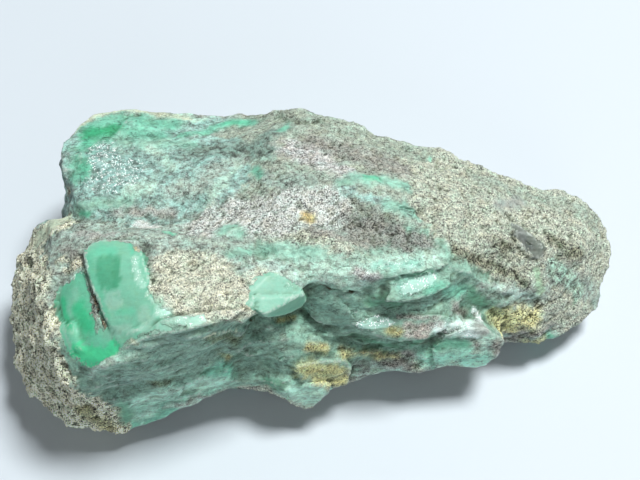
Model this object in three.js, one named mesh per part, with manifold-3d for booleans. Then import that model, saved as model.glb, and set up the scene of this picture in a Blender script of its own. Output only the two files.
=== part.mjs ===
// A hand-sized piece of rough variscite: apple-green seams in a sandy phosphate matrix.
// It is one natural stone, so the part is one solid. Millimetres, +Z up, the stone's length along X,
// its origin on the flat break that it rests on, under the middle of its box.
//
// The stone is made the way it broke. A few blocks, each the convex hull of its own corners, grow
// together into one field; shell-shaped scoops are taken out of it and roughness is laid over it. The
// field's skin is then drawn on a grid, cut flat underneath and opened along its parting.
import * as THREE from "three";
import { ConvexGeometry } from "three/addons/geometries/ConvexGeometry.js";
import { ConvexHull } from "three/addons/math/ConvexHull.js";
import { ImprovedNoise } from "three/addons/math/ImprovedNoise.js";
import { mergeVertices } from "three/addons/utils/BufferGeometryUtils.js";
import Module from "manifold-3d";

// Driving dimensions of the finished stone.
const LENGTH = 126;
const DEPTH = 68;
const HEIGHT = 38;

// The grid that the skin is drawn on: its cell, and its two far corners, clear of every block.
const CELL = 2.35;
const GRID_LOW = new THREE.Vector3(-71, -44.5, -10);
const GRID_HIGH = new THREE.Vector3(72, 42, 46);

// The blocks. Corners are [x, y, z]: X along the stone, from its broken butt to its nose, Y from front
// to back, Z up from the table. The blend is how wide the block's joint with the others is.
const BLOCKS = {
  // The body, whose top slopes gently to the back rim.
  slab: {
    blend: 2,
    corners: [
      [-49.8, 19.5, 30], [-48.6, 27, 28], [-45, 31, 27], [-47, 6, 30.5],
      [-52, 9, 15], [-52.6, 18, 13], [-48, 28, 10],
      [-37.5, 32.5, 27.5], [-25.5, 32, 28.5], [-13, 31.2, 28.5], [0, 29.4, 29], [8, 26.8, 29.3],
      [21, 22.5, 28], [31, 18.5, 26],
      [-42, 33, 15], [-20, 34, 14], [2, 31, 13], [28, 23, 12],
      [-38, 13, 32], [-20, 8, 34], [0, 6, 35], [18, 5, 34], [31, 3, 30.5],
      [-39.5, 1, 32], [-14, -6, 34.5], [-2, -13.6, 35], [8, -13.4, 33.6], [16, -12.4, 32.2],
      [27, -9.2, 31.4],
      [-44, 22, -4], [-4, 25, -4], [32, 16, -4], [-43, -8, -4], [32, -8, -4],
    ],
  },
  // The crown stands a little over the slab behind its middle and falls off to the nose.
  crown: {
    blend: 3,
    corners: [
      [-10, 29.5, 28], [-5, 30, 31.5], [3, 28.8, 31.8], [12, 26, 30.5],
      [-8, 16, 35], [-3, 8, 37.5], [10, 8, 36.5], [22, 4, 33.5],
      [-6, -8, 35], [10, -8, 34.5], [26, 12, 29], [-14, 14, 30], [0, 0, 20], [20, 20, 20], [0, 22, 20],
    ],
  },
  // The butt, the raised block at the near left that carries the green face and the sandy crust.
  butt: {
    blend: 3,
    corners: [
      [-43, -6, 34], [-36.5, -4.5, 35], [-28, -3, 35.5], [-21, -6, 36], [-14, -8, 36.5],
      [-7.5, -12, 36.5],
      [-44, -31, 26.5], [-36.5, -31.3, 31], [-29, -27.5, 35], [-25.5, -24.5, 36], [-17, -24, 36.5],
      [-9, -23.5, 36.5],
      [-48.5, -16, 31], [-47, -24, 29.5], [-51, 0, 29], [-52, 5.5, 26],
      [-57.5, 4.5, 19], [-60, 2, 16], [-61, -2.5, 15], [-60.6, -12, 14], [-59.8, -16, 13], [-58, -22, 12],
      [-55, -28, 11], [-51.5, -31, 10], [-47.5, -33.5, 9], [-41, -34, 8],
      [-50, -20, -4], [-49, 0, -4], [-36, -25, -4], [-20, -20, -4], [-12, -18, -4], [-12, 0, -4],
    ],
  },
  // The lower lip of the butt stands forward under a parting that climbs to the right.
  lip: {
    blend: 1,
    corners: [
      [-44, -33.2, 12], [-39.5, -32.4, 17], [-31, -30.4, 17], [-21.5, -27.6, 18.5], [-14.5, -24.6, 22],
      [-38, -34.6, 6], [-32, -32.6, 6], [-27, -30.4, 7], [-22, -29, 9], [-14, -27.2, 11.5],
      [-44, -20, 14], [-14, -15, 18], [-38, -24, -4], [-16, -18, -2],
    ],
  },
  // The nose tapers to the right.
  nose: {
    blend: 5,
    corners: [
      [10, 24, 27], [28, 20.5, 26.5], [44, 17, 23.5], [53, 15.4, 21.5], [60.5, 14, 19], [64.5, 12.2, 15.5],
      [66.2, 9, 12], [66, 1.5, 10], [63.5, -5.5, 7.5], [59.5, -9.6, 7], [50.5, -15.4, 8], [42, -15.4, 10],
      [10, 4, 33], [30, 3, 30.5], [46.5, 0.6, 25.5], [57, 1, 21.8], [64, 6, 17],
      [12, -8, 31], [30, -8.8, 29.5], [38, -10.5, 25], [51, -8.5, 18],
      [40, 17, 8], [56, 13, 7], [30, 16, -4], [54, 9, -4], [54, -4, -4], [42, -9, -4], [20, -9, -4],
    ],
  },
  // The near face under the slab's edge, a steep break that carries the ledges.
  apron: {
    blend: 2,
    corners: [
      [-6, -16.5, 34], [8, -14, 33], [27, -10.6, 31.4], [36, -9.5, 27.5],
      [-16, -26, 12], [-5, -27.5, 9], [8, -24.8, 9], [22, -20.5, 9], [36, -17, 10], [39, -14, 12],
      [-16, -10, 30], [0, 0, 33], [25, 0, 30], [36, 0, 25],
      [-18, -19, -4], [8, -15, -4], [36, -10, -4], [-18, 0, -4], [36, 0, -4],
    ],
  },
  // Three ledges lie down the near face like shingles, each with a sloping top and a thin edge.
  firstLedge: {
    blend: 0.8,
    corners: [
      [13.5, -14.5, 30.4], [15.3, -13.9, 32.1], [22, -11.9, 33], [25.9, -10.6, 32.8],
      [12.6, -16.3, 28.1], [18.4, -16, 27.5], [26.2, -14.2, 27.5], [30.3, -12.3, 27.2],
      [14, -8, 28], [29, -6, 26], [16, -11, 22], [28, -9, 22],
    ],
  },
  secondLedge: {
    blend: 0.8,
    corners: [
      [6.8, -18.2, 23.9], [9.1, -18.2, 26.3], [16.5, -16.9, 26], [24.5, -16.3, 23.8], [31.6, -12.8, 24.2],
      [6.9, -19.9, 22.6], [11.8, -20.7, 21], [16.8, -20.8, 19.2], [22.8, -19.6, 19], [26.7, -17.7, 20.4],
      [34.6, -13.2, 22.9], [8, -12, 22], [30, -8, 20], [18, -12, 18],
    ],
  },
  thirdLedge: {
    blend: 1,
    corners: [
      [-18, -21.6, 28.3], [-10.5, -20.3, 27.8], [-2.9, -19.9, 24.9], [6.9, -20.5, 19.9], [17, -20.2, 15.7],
      [-17.3, -25.1, 22.6], [-4.9, -23.6, 20.4], [5.9, -22.2, 19.1], [21.2, -21.3, 12.5],
      [-17, -14, 22], [18, -12, 14], [-10, -16, 14],
    ],
  },
  // A step and a round nodule at the foot of the face.
  step: {
    blend: 0.8,
    corners: [
      [-4.9, -23.6, 20.4], [6.9, -22.2, 19], [7.8, -24.8, 13.2], [7.2, -26.4, 11], [-3, -27.2, 12.7],
      [-8, -27.2, 12.3], [-6, -18, 18], [7, -17, 17], [6, -18, 9], [-8, -20, 9],
    ],
  },
  toe: {
    blend: 1.2,
    corners: [
      [-6, -27.2, 12.3], [-2.9, -27.5, 15.1], [2, -27.4, 12.9], [3, -27.3, 10.2], [-2, -29.5, 7.5],
      [-5, -28.8, 8.2], [-6, -20, 10], [3, -20, 10], [-2, -20, 4],
    ],
  },
  // The swelling of clean green stone under the ledges, towards the nose.
  bulge: {
    blend: 1.2,
    corners: [
      [20.9, -19.2, 17.3], [24.7, -18.3, 19.9], [30.5, -17.3, 22.1], [36.8, -15.9, 19.5],
      [10, -23.8, 10.5], [22.2, -21.5, 11.5], [25.2, -21.5, 12.5], [31.3, -21.8, 11.3],
      [35.4, -21, 11.5], [40, -19.6, 13.5], [43.4, -17.4, 13.2], [30, -20.4, 8], [38, -17.8, 8.5],
      [10, -12, 2], [38, -9, 4], [38, -8, 16], [22, -10, 16],
    ],
  },
  // A clean corner of bright stone that stands over the ledges.
  corner: {
    blend: 0.4,
    corners: [
      [-10.6, -20, 36.9], [-7.7, -14.2, 37.4], [-4.5, -14.8, 37.2], [-0.2, -17.2, 36.2],
      [-8.6, -23.8, 36.4], [-1.8, -18, 29], [-7.4, -22, 30], [-9, -15, 28],
    ],
  },
};

// Shell-shaped scoops, each an ellipsoid with its own blend.
const SCOOPS = {
  // The green face at the butt, and its lower half to the left of the parting.
  greenFace: { centre: [-41, -22, 45], radii: [13, 19, 14.5], blend: 1.5 },
  lowerHalf: { centre: [-47.4, -19, 43.5], radii: [9, 17, 14.8], blend: 0.6 },
  // The shallow valley between the slab and the butt.
  valley: { centre: [-32, 1, 40], radii: [26, 4.5, 8], blend: 3 },
  // A hollow in the sandy top, and the pit under the glassy lump on the nose.
  topHollow: { centre: [13, -3, 46], radii: [14, 8, 12.5], blend: 4 },
  nosePit: { centre: [43, -7, 30], radii: [8, 5, 7], blend: 3 },
  // The shell-shaped break beside the clean corner.
  shell: { centre: [3, -19.8, 28.5], radii: [8, 4.6, 6.5], blend: 0.8 },
  // What the underside lost along its near edge.
  nearUndercut: { centre: [-6, -40, -4], radii: [26, 18, 12], blend: 2 },
  bulgeUndercut: { centre: [22, -32, -2], radii: [24, 16, 10], blend: 2 },
  noseUndercut: { centre: [56, -22, -3], radii: [20, 18, 10], blend: 2 },
};

// Roughness laid over the field, coarse to fine.
const ROUGHNESS = [
  { wavelength: 21, height: 1.1 },
  { wavelength: 10, height: 0.7 },
  { wavelength: 5.5, height: 0.45 },
];

// The parting in the green face: a thin blade of nothing, wider at its mouth.
const PARTING = [
  [-43, -8.4, 37], [-41.5, -8.7, 37], [-41.2, -15, 36], [-39.6, -15, 36], [-37.2, -26.5, 35],
  [-42.4, -9.4, 26], [-40.4, -15, 24.5], [-37.6, -25, 25],
];

const wasm = await Module();
wasm.setup();

// A closed three.js geometry as a solid that can be joined and cut.
function solidOf(geometry) {
  const bare = geometry.clone();
  for (const name of ["normal", "uv"]) bare.deleteAttribute(name);
  const merged = mergeVertices(bare, 1e-4);
  return new wasm.Manifold(
    new wasm.Mesh({
      numProp: 3,
      vertProperties: merged.attributes.position.array,
      triVerts: new Uint32Array(merged.index.array),
    }),
  );
}

function geometryOf(solid) {
  const { vertProperties, triVerts } = solid.getMesh();
  return new THREE.BufferGeometry()
    .setAttribute("position", new THREE.BufferAttribute(vertProperties, 3))
    .setIndex(new THREE.BufferAttribute(triVerts, 1));
}

const points = (corners) => corners.map((corner) => new THREE.Vector3(...corner));

// How far a point lies outside a block, by the face that it is furthest outside of.
function blockField(corners) {
  const { faces } = new ConvexHull().setFromPoints(points(corners));
  return (p) => faces.reduce((most, { normal, constant }) => Math.max(most, normal.dot(p) - constant), -1e9);
}

// About how far a point lies outside an ellipsoid.
function scoopField(centre, radii) {
  const middle = new THREE.Vector3(...centre);
  const size = new THREE.Vector3(...radii);
  return (p) => {
    const q = p.clone().sub(middle).divide(size);
    const reach = q.length();
    return (reach * (reach - 1)) / (q.divide(size).length() + 1e-9);
  };
}

// The smaller of two distances, rounded over where they are within the width of each other.
function blended(a, b, width) {
  const near = Math.max(width - Math.abs(a - b), 0) / width;
  return Math.min(a, b) - (near * near * width) / 4;
}

const blocks = Object.values(BLOCKS).map(({ corners, blend }) => ({ field: blockField(corners), blend }));
const scoops = Object.values(SCOOPS).map(({ centre, radii, blend }) => ({
  field: scoopField(centre, radii),
  blend,
}));
const noise = new ImprovedNoise();

function roughness(p) {
  return ROUGHNESS.reduce((sum, { wavelength, height }, octave) => {
    const q = p.clone().divideScalar(wavelength);
    return sum + height * noise.noise(q.x + octave * 7.3, q.y - octave * 3.1, q.z + octave * 5.7);
  }, 0);
}

// Below nought inside the stone, above nought outside it.
function stoneField(p) {
  let distance = blocks.reduce((sum, { field, blend }) => blended(sum, field(p), blend), 1e3);
  for (const { field, blend } of scoops) distance = -blended(-distance, field(p), blend);
  return distance + roughness(p);
}

const AXES = [
  [1, 0, 0],
  [0, 1, 0],
  [0, 0, 1],
];

function slope(field, p) {
  const step = 0.05;
  const rise = (axis) => {
    const ahead = p.clone().addScaledVector(axis, step);
    const behind = p.clone().addScaledVector(axis, -step);
    return field(ahead) - field(behind);
  };
  return new THREE.Vector3(...AXES.map((axis) => rise(new THREE.Vector3(...axis)))).normalize();
}

// The point that lies best on all the planes through the crossings, kept near their middle.
function cornerOf(crossings) {
  const STAY = 0.25;
  const middle = new THREE.Vector3();
  for (const { at } of crossings) middle.addScaledVector(at, 1 / crossings.length);
  const a = [STAY, 0, 0, 0, STAY, 0, 0, 0, STAY];
  const b = new THREE.Vector3();
  for (const { at, normal } of crossings) {
    const n = normal.toArray();
    const reach = normal.dot(at.clone().sub(middle));
    for (let i = 0; i < 9; i++) a[i] += n[Math.floor(i / 3)] * n[i % 3];
    b.addScaledVector(normal, reach);
  }
  return b.applyMatrix3(new THREE.Matrix3().set(...a).invert()).add(middle);
}

// Which of a cell's eight corners hang together: those inside the stone along the cell's edges, and
// those outside it across its faces too. A corner's number holds its X, Y and Z as bits.
function cornerGroups(inside) {
  const apart = (a, b) => [1, 2, 4].filter((bit) => (a ^ b) & bit).length;
  const groups = inside.map((_, number) => number);
  inside.forEach((isInside, a) => {
    for (let b = 0; b < a; b++) {
      if (inside[b] !== isInside || apart(a, b) > (isInside ? 1 : 2)) continue;
      const [kept, dropped] = [groups[b], groups[a]];
      groups.forEach((group, number) => {
        if (group === dropped) groups[number] = kept;
      });
    }
  });
  return groups;
}

// Draws the skin of a field. Each cell gets one point for each sheet of skin that passes through it,
// and each grid edge that the skin crosses gets one square of two facets.
function skinOf(field, low, high, cell) {
  const INSET = 0.04;
  const CELL_EDGES = 12;
  const CELL_CORNERS = 8;
  const count = high.clone().sub(low).divideScalar(cell).ceil().addScalar(1).toArray();
  const at = (i, j, k) => low.clone().add(new THREE.Vector3(i, j, k).multiplyScalar(cell));
  const index = (i, j, k) => i + count[0] * (j + count[1] * k);
  const values = new Float64Array(count[0] * count[1] * count[2]);
  const everyCell = (reach, visit) => {
    for (let k = 0; k < count[2] - reach; k++) {
      for (let j = 0; j < count[1] - reach; j++) {
        for (let i = 0; i < count[0] - reach; i++) visit(i, j, k);
      }
    }
  };
  everyCell(0, (i, j, k) => (values[index(i, j, k)] = field(at(i, j, k))));

  const crossings = new Map();
  everyCell(1, (i, j, k) => {
    AXES.forEach(([x, y, z], number) => {
      const near = values[index(i, j, k)];
      const far = values[index(i + x, j + y, k + z)];
      if (near < 0 === far < 0) return;
      const spot = at(i, j, k).lerp(at(i + x, j + y, k + z), near / (near - far));
      crossings.set(index(i, j, k) * 3 + number, {
        at: spot,
        normal: slope(field, spot),
        nearIsInside: near < 0,
      });
    });
  });

  // The edges of a cell along one axis, each by its place across the cell and its first corner.
  const alongAxis = (number) => {
    const [u, v] = [(number + 1) % 3, (number + 2) % 3];
    return [[0, 0], [1, 0], [1, 1], [0, 1]].map(([p, q], place) => ({
      place: number * 4 + place,
      across: AXES[u].map((step, n) => step * p + AXES[v][n] * q),
      corner: (p << u) | (q << v),
    }));
  };

  const positions = [];
  const pointOf = new Map();
  everyCell(1, (i, j, k) => {
    const inside = Array.from(
      { length: CELL_CORNERS },
      (_, c) => values[index(i + (c & 1), j + ((c >> 1) & 1), k + ((c >> 2) & 1))] < 0,
    );
    if (inside.every((isInside) => isInside === inside[0])) return;
    const groups = cornerGroups(inside);
    const sheets = new Map();
    AXES.forEach((_, number) => {
      for (const { place, across, corner } of alongAxis(number)) {
        const crossing = crossings.get(index(i + across[0], j + across[1], k + across[2]) * 3 + number);
        if (!crossing) continue;
        const sides = [groups[corner], groups[corner | (1 << number)]].sort();
        const sheet = sides[0] * CELL_CORNERS + sides[1];
        sheets.set(sheet, [...(sheets.get(sheet) ?? []), { ...crossing, place }]);
      }
    });
    for (const sheet of sheets.values()) {
      const point = cornerOf(sheet).clamp(
        at(i + INSET, j + INSET, k + INSET),
        at(i + 1 - INSET, j + 1 - INSET, k + 1 - INSET),
      );
      for (const { place } of sheet) pointOf.set(index(i, j, k) * CELL_EDGES + place, positions.length);
      positions.push(point);
    }
  });

  const facets = [];
  everyCell(1, (i, j, k) => {
    AXES.forEach((_, number) => {
      const crossing = crossings.get(index(i, j, k) * 3 + number);
      if (!crossing) return;
      const around = alongAxis(number).map(({ place, across }) =>
        pointOf.get(index(i - across[0], j - across[1], k - across[2]) * CELL_EDGES + place),
      );
      if (!crossing.nearIsInside) around.reverse();
      const [a, b, c, d] = around;
      const shortFirst = positions[a].distanceTo(positions[c]) < positions[b].distanceTo(positions[d]);
      facets.push(...(shortFirst ? [a, b, c, a, c, d] : [a, b, d, b, c, d]));
    });
  });
  return new THREE.BufferGeometry().setFromPoints(positions).setIndex(facets);
}

// Scales and centres the stone so that its box is exactly the driving dimensions, standing on Z = 0.
function fitToSize(geometry) {
  geometry.computeBoundingBox();
  const { min, max } = geometry.boundingBox;
  const size = max.clone().sub(min);
  geometry.translate(-(min.x + max.x) / 2, -(min.y + max.y) / 2, -min.z);
  return geometry.scale(LENGTH / size.x, DEPTH / size.y, HEIGHT / size.z);
}

const rough = solidOf(skinOf(stoneField, GRID_LOW, GRID_HIGH, CELL));
const span = 2 * LENGTH;
const table = new THREE.BoxGeometry(span, span, span).translate(0, 0, -span / 2);
const parting = new ConvexGeometry(points(PARTING));
const cut = rough.subtract(solidOf(table)).subtract(solidOf(parting));

const stone = new THREE.Mesh(
  fitToSize(geometryOf(cut)),
  new THREE.MeshStandardMaterial({ color: 0x8fb8a4, roughness: 0.7, metalness: 0, flatShading: true }),
);
stone.name = "variscite_stone";

const group = new THREE.Group();
group.add(stone);
export default group;
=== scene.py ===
import math

import bmesh
import bpy
import numpy as np
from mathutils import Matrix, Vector, kdtree, noise
from mathutils.bvhtree import BVHTree

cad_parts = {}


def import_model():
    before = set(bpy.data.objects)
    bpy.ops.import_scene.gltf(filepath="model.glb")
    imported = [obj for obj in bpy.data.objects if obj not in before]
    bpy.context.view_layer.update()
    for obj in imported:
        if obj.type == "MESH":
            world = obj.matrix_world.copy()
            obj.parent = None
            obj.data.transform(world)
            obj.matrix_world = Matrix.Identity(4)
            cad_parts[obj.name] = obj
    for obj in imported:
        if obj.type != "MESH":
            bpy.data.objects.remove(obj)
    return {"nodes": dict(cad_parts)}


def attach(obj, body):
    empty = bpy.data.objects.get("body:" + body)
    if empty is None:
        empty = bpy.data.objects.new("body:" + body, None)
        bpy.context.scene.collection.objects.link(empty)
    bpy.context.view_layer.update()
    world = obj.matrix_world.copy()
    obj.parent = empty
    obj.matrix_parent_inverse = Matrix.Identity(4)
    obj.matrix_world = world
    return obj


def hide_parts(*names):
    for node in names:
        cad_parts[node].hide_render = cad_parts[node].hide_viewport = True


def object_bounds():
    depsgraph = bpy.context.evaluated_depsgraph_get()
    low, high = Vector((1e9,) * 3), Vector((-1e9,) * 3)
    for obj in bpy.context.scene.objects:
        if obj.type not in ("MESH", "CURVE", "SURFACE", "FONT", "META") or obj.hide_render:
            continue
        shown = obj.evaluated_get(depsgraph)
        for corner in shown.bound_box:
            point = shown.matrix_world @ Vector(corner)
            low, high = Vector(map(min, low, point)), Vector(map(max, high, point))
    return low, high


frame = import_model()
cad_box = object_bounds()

MM = 0.001

# ---- The stone's skin ----
# One broken piece of green variscite in a sandy phosphate matrix. The solid gives its forms; here its
# facets are worn round, its clean breaks get their crisp edges, and its skin is drawn fine enough to
# carry grains, chips and the edges of the layers.

SKIN_STEP = 0.59 * MM
WEAR_PASSES = 2
# Parts that broke off clean: the corners of each one's outer face, in millimetres. A part reaches
# inwards from each corner by its depth, towards a point at the middle height, on the stone's middle
# line, that is this share of the corner's own way along the stone.
PART_DEPTH = 4.0
MIDDLE_HEIGHT = 14
MIDDLE_SHARE = 0.8
CRISP_PARTS = {
    "corner": [(-12.1, -20.5, 36.9), (-11, -17.4, 37.4), (-9.3, -15.4, 37.4), (-8.3, -14.7, 37.2),
               (-6.9, -14.8, 36.7), (-4.4, -15.7, 35.5), (-1.8, -16.9, 34.2), (-3, -17.4, 34.5),
               (-5.8, -19.5, 34.8), (-7.8, -21, 35.1), (-9.4, -22.3, 35.3), (-1.4, -16.1, 29.8),
               (-2.5, -17.3, 29.2), (-5.6, -19.3, 29.6), (-9.2, -21.6, 32.9)],
    "right panel": [(-44.6, -8.5, 36), (-43.7, -12, 35.4), (-42.3, -15.3, 35), (-40.9, -19, 34.8),
                    (-38.6, -23.8, 34.2), (-34, -25.4, 35.6), (-29.7, -23.8, 37.3), (-29.7, -18.3, 37.8),
                    (-31.6, -12.9, 37.5), (-33.8, -6.6, 36.6), (-41, -6, 36.4)],
    "left panel": [(-44.6, -10.6, 34.2), (-43.6, -12.5, 33.9), (-42.6, -15.8, 33.6), (-41.3, -18.7, 33.4),
                   (-40.4, -21.7, 33.1), (-39.3, -23.4, 33), (-36.1, -28.5, 33.4), (-38.8, -29.7, 31.7),
                   (-41.7, -29.9, 29.5), (-44.5, -27.8, 29.5), (-46.7, -21.7, 30.6), (-48, -19, 30.4),
                   (-48.9, -16.2, 30.1), (-48.8, -14.4, 30.7), (-48.2, -12.3, 31.2)],
    "bench": [(-11.8, -18.6, 36.9), (-8.7, -14.8, 37), (-7.4, -14.4, 36.6), (-4.1, -16, 34.9),
              (-2.9, -16.9, 34.2), (-13.4, -13.5, 37.6), (-11.8, -11.8, 37), (-8.5, -10.1, 35.7),
              (-4.7, -10.7, 35.7), (-1.6, -13.1, 35.2), (-0.5, -14.1, 34)],
    "blade": [(14.7, -14, 32), (17.6, -13, 32.5), (22.1, -11.7, 32.1), (25.5, -9.9, 31.4),
              (26.7, -12.7, 29.6), (22.7, -15.2, 30), (17.2, -17, 30.2), (13.2, -17.1, 30.4)],
    "tongue": [(8.8, -18.6, 24.6), (13.6, -17.6, 25.2), (19.5, -16.9, 25.2), (24.6, -16.3, 24.4),
               (27, -15.9, 22.5), (25.8, -18.1, 21.6), (21.6, -20.3, 21.2), (16.3, -20.8, 21.2),
               (11.5, -20.1, 22.4)],
    "dark face": [(-2.2, -14.8, 28.9), (0.6, -14.7, 30.3), (4.1, -14.9, 30.1), (6.4, -16.5, 28),
                  (8, -18.1, 25.5), (4.9, -19, 24.1), (0.6, -18.4, 24.4), (-2.8, -15.9, 26.4)],
    "straw ledge": [(-4.3, -24.8, 18.7), (-0.2, -24, 19), (6.1, -23, 18), (7.4, -23.6, 14.5),
                    (6.6, -25, 10.5), (3, -26.2, 10), (-2.9, -26, 16)],
    "bulge": [(22.9, -20.6, 17), (25.9, -18.6, 20), (30.5, -17.6, 21.4), (34.2, -17.5, 20.5),
              (38, -18.6, 17.2), (37.3, -20, 14.3), (35.3, -20.7, 11.4), (32.2, -21.1, 9.8),
              (28.4, -21.3, 11.2), (24.3, -21.5, 12.9)],
    "grey lump": [(39.6, 3.2, 27.8), (41.3, 2.6, 28.1), (43.4, 0.9, 27.7), (45.6, -0.9, 26.1),
                  (46.4, -2.6, 24.8), (45.3, -3.9, 24.6), (43.3, -3.6, 25.4), (41.2, -1.9, 26.7),
                  (39.8, 0.4, 27.6)],
    "slab corner": [(-51.9, 13.3, 31.2), (-53, 20.3, 29.7), (-52.7, 22, 29.5), (-51.4, 24.3, 29.2),
                    (-49.9, 26.4, 29), (-49, 28.4, 28.6), (-47.7, 30.2, 28.4), (-46.5, 30.9, 28.3),
                    (-43.8, 30.9, 28.5), (-40.3, 30.7, 28.8), (-38.6, 31, 28.8), (-37, 29.5, 28.2),
                    (-42.5, 22, 29.3), (-47, 14.5, 30.6)],
    "crest knob": [(-6.9, 27.2, 32.6), (-6.2, 28, 32.7), (-4.7, 28.6, 33), (-3.2, 28.1, 33),
                   (-1, 26.9, 33.1), (2, 26.2, 33.1), (-5.5, 25.5, 33.4), (-1, 24.6, 33.8)],
    "toe": [(-6.5, -27.6, 11.5), (-5, -28.2, 9.3), (-3.7, -28.5, 7.4), (-1.4, -28.6, 6.4),
            (0.6, -28.3, 8.2), (2, -27.6, 10.5), (3.6, -26.6, 12.6), (1.5, -26.3, 13.8),
            (-1.5, -26.6, 14.2), (-4.5, -27.2, 13.5)],
    "near ridge": [(-34.3, -28.4, 34.8), (-30, -27.3, 36.6), (-24.6, -26.6, 36.9), (-20, -25.2, 37.4),
                   (-15.4, -24.6, 37), (-13, -22, 37.2), (-20, -23, 37.8), (-28, -24.5, 37.6)],
}

solid = frame["nodes"]["variscite_stone"]
shape = bmesh.new()
shape.from_mesh(solid.data)
bmesh.ops.remove_doubles(shape, verts=shape.verts, dist=0.001 * MM)
bmesh.ops.recalc_face_normals(shape, faces=shape.faces)
mesh = bpy.data.meshes.new("stone")
hulls = {}
for part, corners in CRISP_PARTS.items():
    hull = bmesh.new()
    for corner in corners:
        outer = Vector(corner)
        inward = (Vector((MIDDLE_SHARE * outer.x, 0, MIDDLE_HEIGHT)) - outer).normalized()
        hull.verts.new(outer * MM)
        hull.verts.new((outer + PART_DEPTH * inward) * MM)
    extra = bmesh.ops.convex_hull(hull, input=hull.verts)
    unused = {*extra["geom_interior"], *extra["geom_unused"]}
    bmesh.ops.delete(hull, geom=list(unused), context="VERTS")
    hull.to_mesh(mesh)
    shape.from_mesh(mesh)
    hulls[part] = BVHTree.FromBMesh(hull)
    hull.free()
shape.to_mesh(mesh)
shape.free()
stone = bpy.data.objects.new("stone", mesh)
bpy.context.scene.collection.objects.link(stone)
remesh = stone.modifiers.new("skin", "REMESH")
remesh.mode = "VOXEL"
remesh.voxel_size = SKIN_STEP
remeshed = stone.evaluated_get(bpy.context.evaluated_depsgraph_get())
worn = bpy.data.meshes.new_from_object(remeshed)
stone.modifiers.clear()
stone.data = worn
worn.name = "stone"


def coordinates(of):
    found = np.empty(len(of.vertices) * 3)
    of.vertices.foreach_get("co", found)
    return found.reshape(-1, 3)


def normals_of(of):
    found = np.empty(len(of.vertices) * 3)
    of.vertex_normals.foreach_get("vector", found)
    return found.reshape(-1, 3)


def links_of(of):
    """The mesh's edges as pairs of points, and how many neighbours each point has."""
    pairs = np.empty(len(of.edges) * 2, dtype=int)
    of.edges.foreach_get("vertices", pairs)
    pairs = pairs.reshape(-1, 2)
    return pairs, np.bincount(pairs.ravel(), minlength=len(of.vertices))[:, None]


def evened(values, links, passes):
    """Each point's values averaged with its neighbours', a few times over."""
    pairs, neighbours = links
    for _ in range(passes):
        total = np.zeros_like(values)
        for axis in range(values.shape[1]):
            total[:, axis] += np.bincount(pairs[:, 0], values[pairs[:, 1], axis], len(values))
            total[:, axis] += np.bincount(pairs[:, 1], values[pairs[:, 0], axis], len(values))
        values = 0.5 * values + 0.5 * total / neighbours
    return values


def moved_to(of, where):
    of.vertices.foreach_set("co", where.ravel())
    of.update()


def ease(low, high, value):
    """Nought below low, one above high, and smooth between them."""
    t = np.clip((value - low) / (high - low), 0, 1)
    return t * t * (3 - 2 * t)


links = links_of(worn)
place = evened(coordinates(worn), links, WEAR_PASSES)
# The crisp parts get their flat faces and their edges back. The skin is drawn onto a part from not
# quite a millimetre off, and what stands over the clean corner's top is cut down from further away.
# Each pair says from how far off not at all, and from how far off wholly.
DRAWN_FROM = (0.9, 0.5)
CUT_DOWN_FROM = (2.2, 1.8)
FACES_UP = 0.6
STRAIGHT_OVER = 0.97
crisp = np.zeros(len(place))
on_corner = np.zeros(len(place))
for part, hull in hulls.items():
    for number, spot in enumerate(place):
        on_hull, outward, _, away = hull.find_nearest(Vector(spot), CUT_DOWN_FROM[0] * MM)
        if on_hull is None:
            continue
        over = outward.z > FACES_UP and (Vector(spot) - on_hull).dot(outward) > STRAIGHT_OVER * away
        none, full = CUT_DOWN_FROM if part == "corner" and over else DRAWN_FROM
        kept = float(ease(none, full, away / MM))
        if kept > 0:
            place[number] += kept * (np.array(on_hull) - spot)
            crisp[number] = max(crisp[number], kept)
            if part == "corner":
                on_corner[number] = kept
moved_to(worn, place)
place = place / MM
facing = normals_of(worn)


def cloud(where, size, seed=0.0):
    """Soft noise from about -1 to 1, whose lumps are about the given size in millimetres."""
    spots = where / size + seed
    return np.array([noise.noise(Vector(spot)) for spot in spots])


def sway(where, size, seeds=(21.0, 33.0, 45.0)):
    """Soft noise in each of the three directions, to bend the edges of things with."""
    return np.stack([cloud(where, size, seed) for seed in seeds], axis=1)


# ---- What the rock is made of, place by place ----
# Seams and patches of clean variscite, from deep green to chalky mint, lie in a sandy phosphate
# matrix that goes from pinkish grey to olive. Each is laid down along a path, in millimetres.

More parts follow.
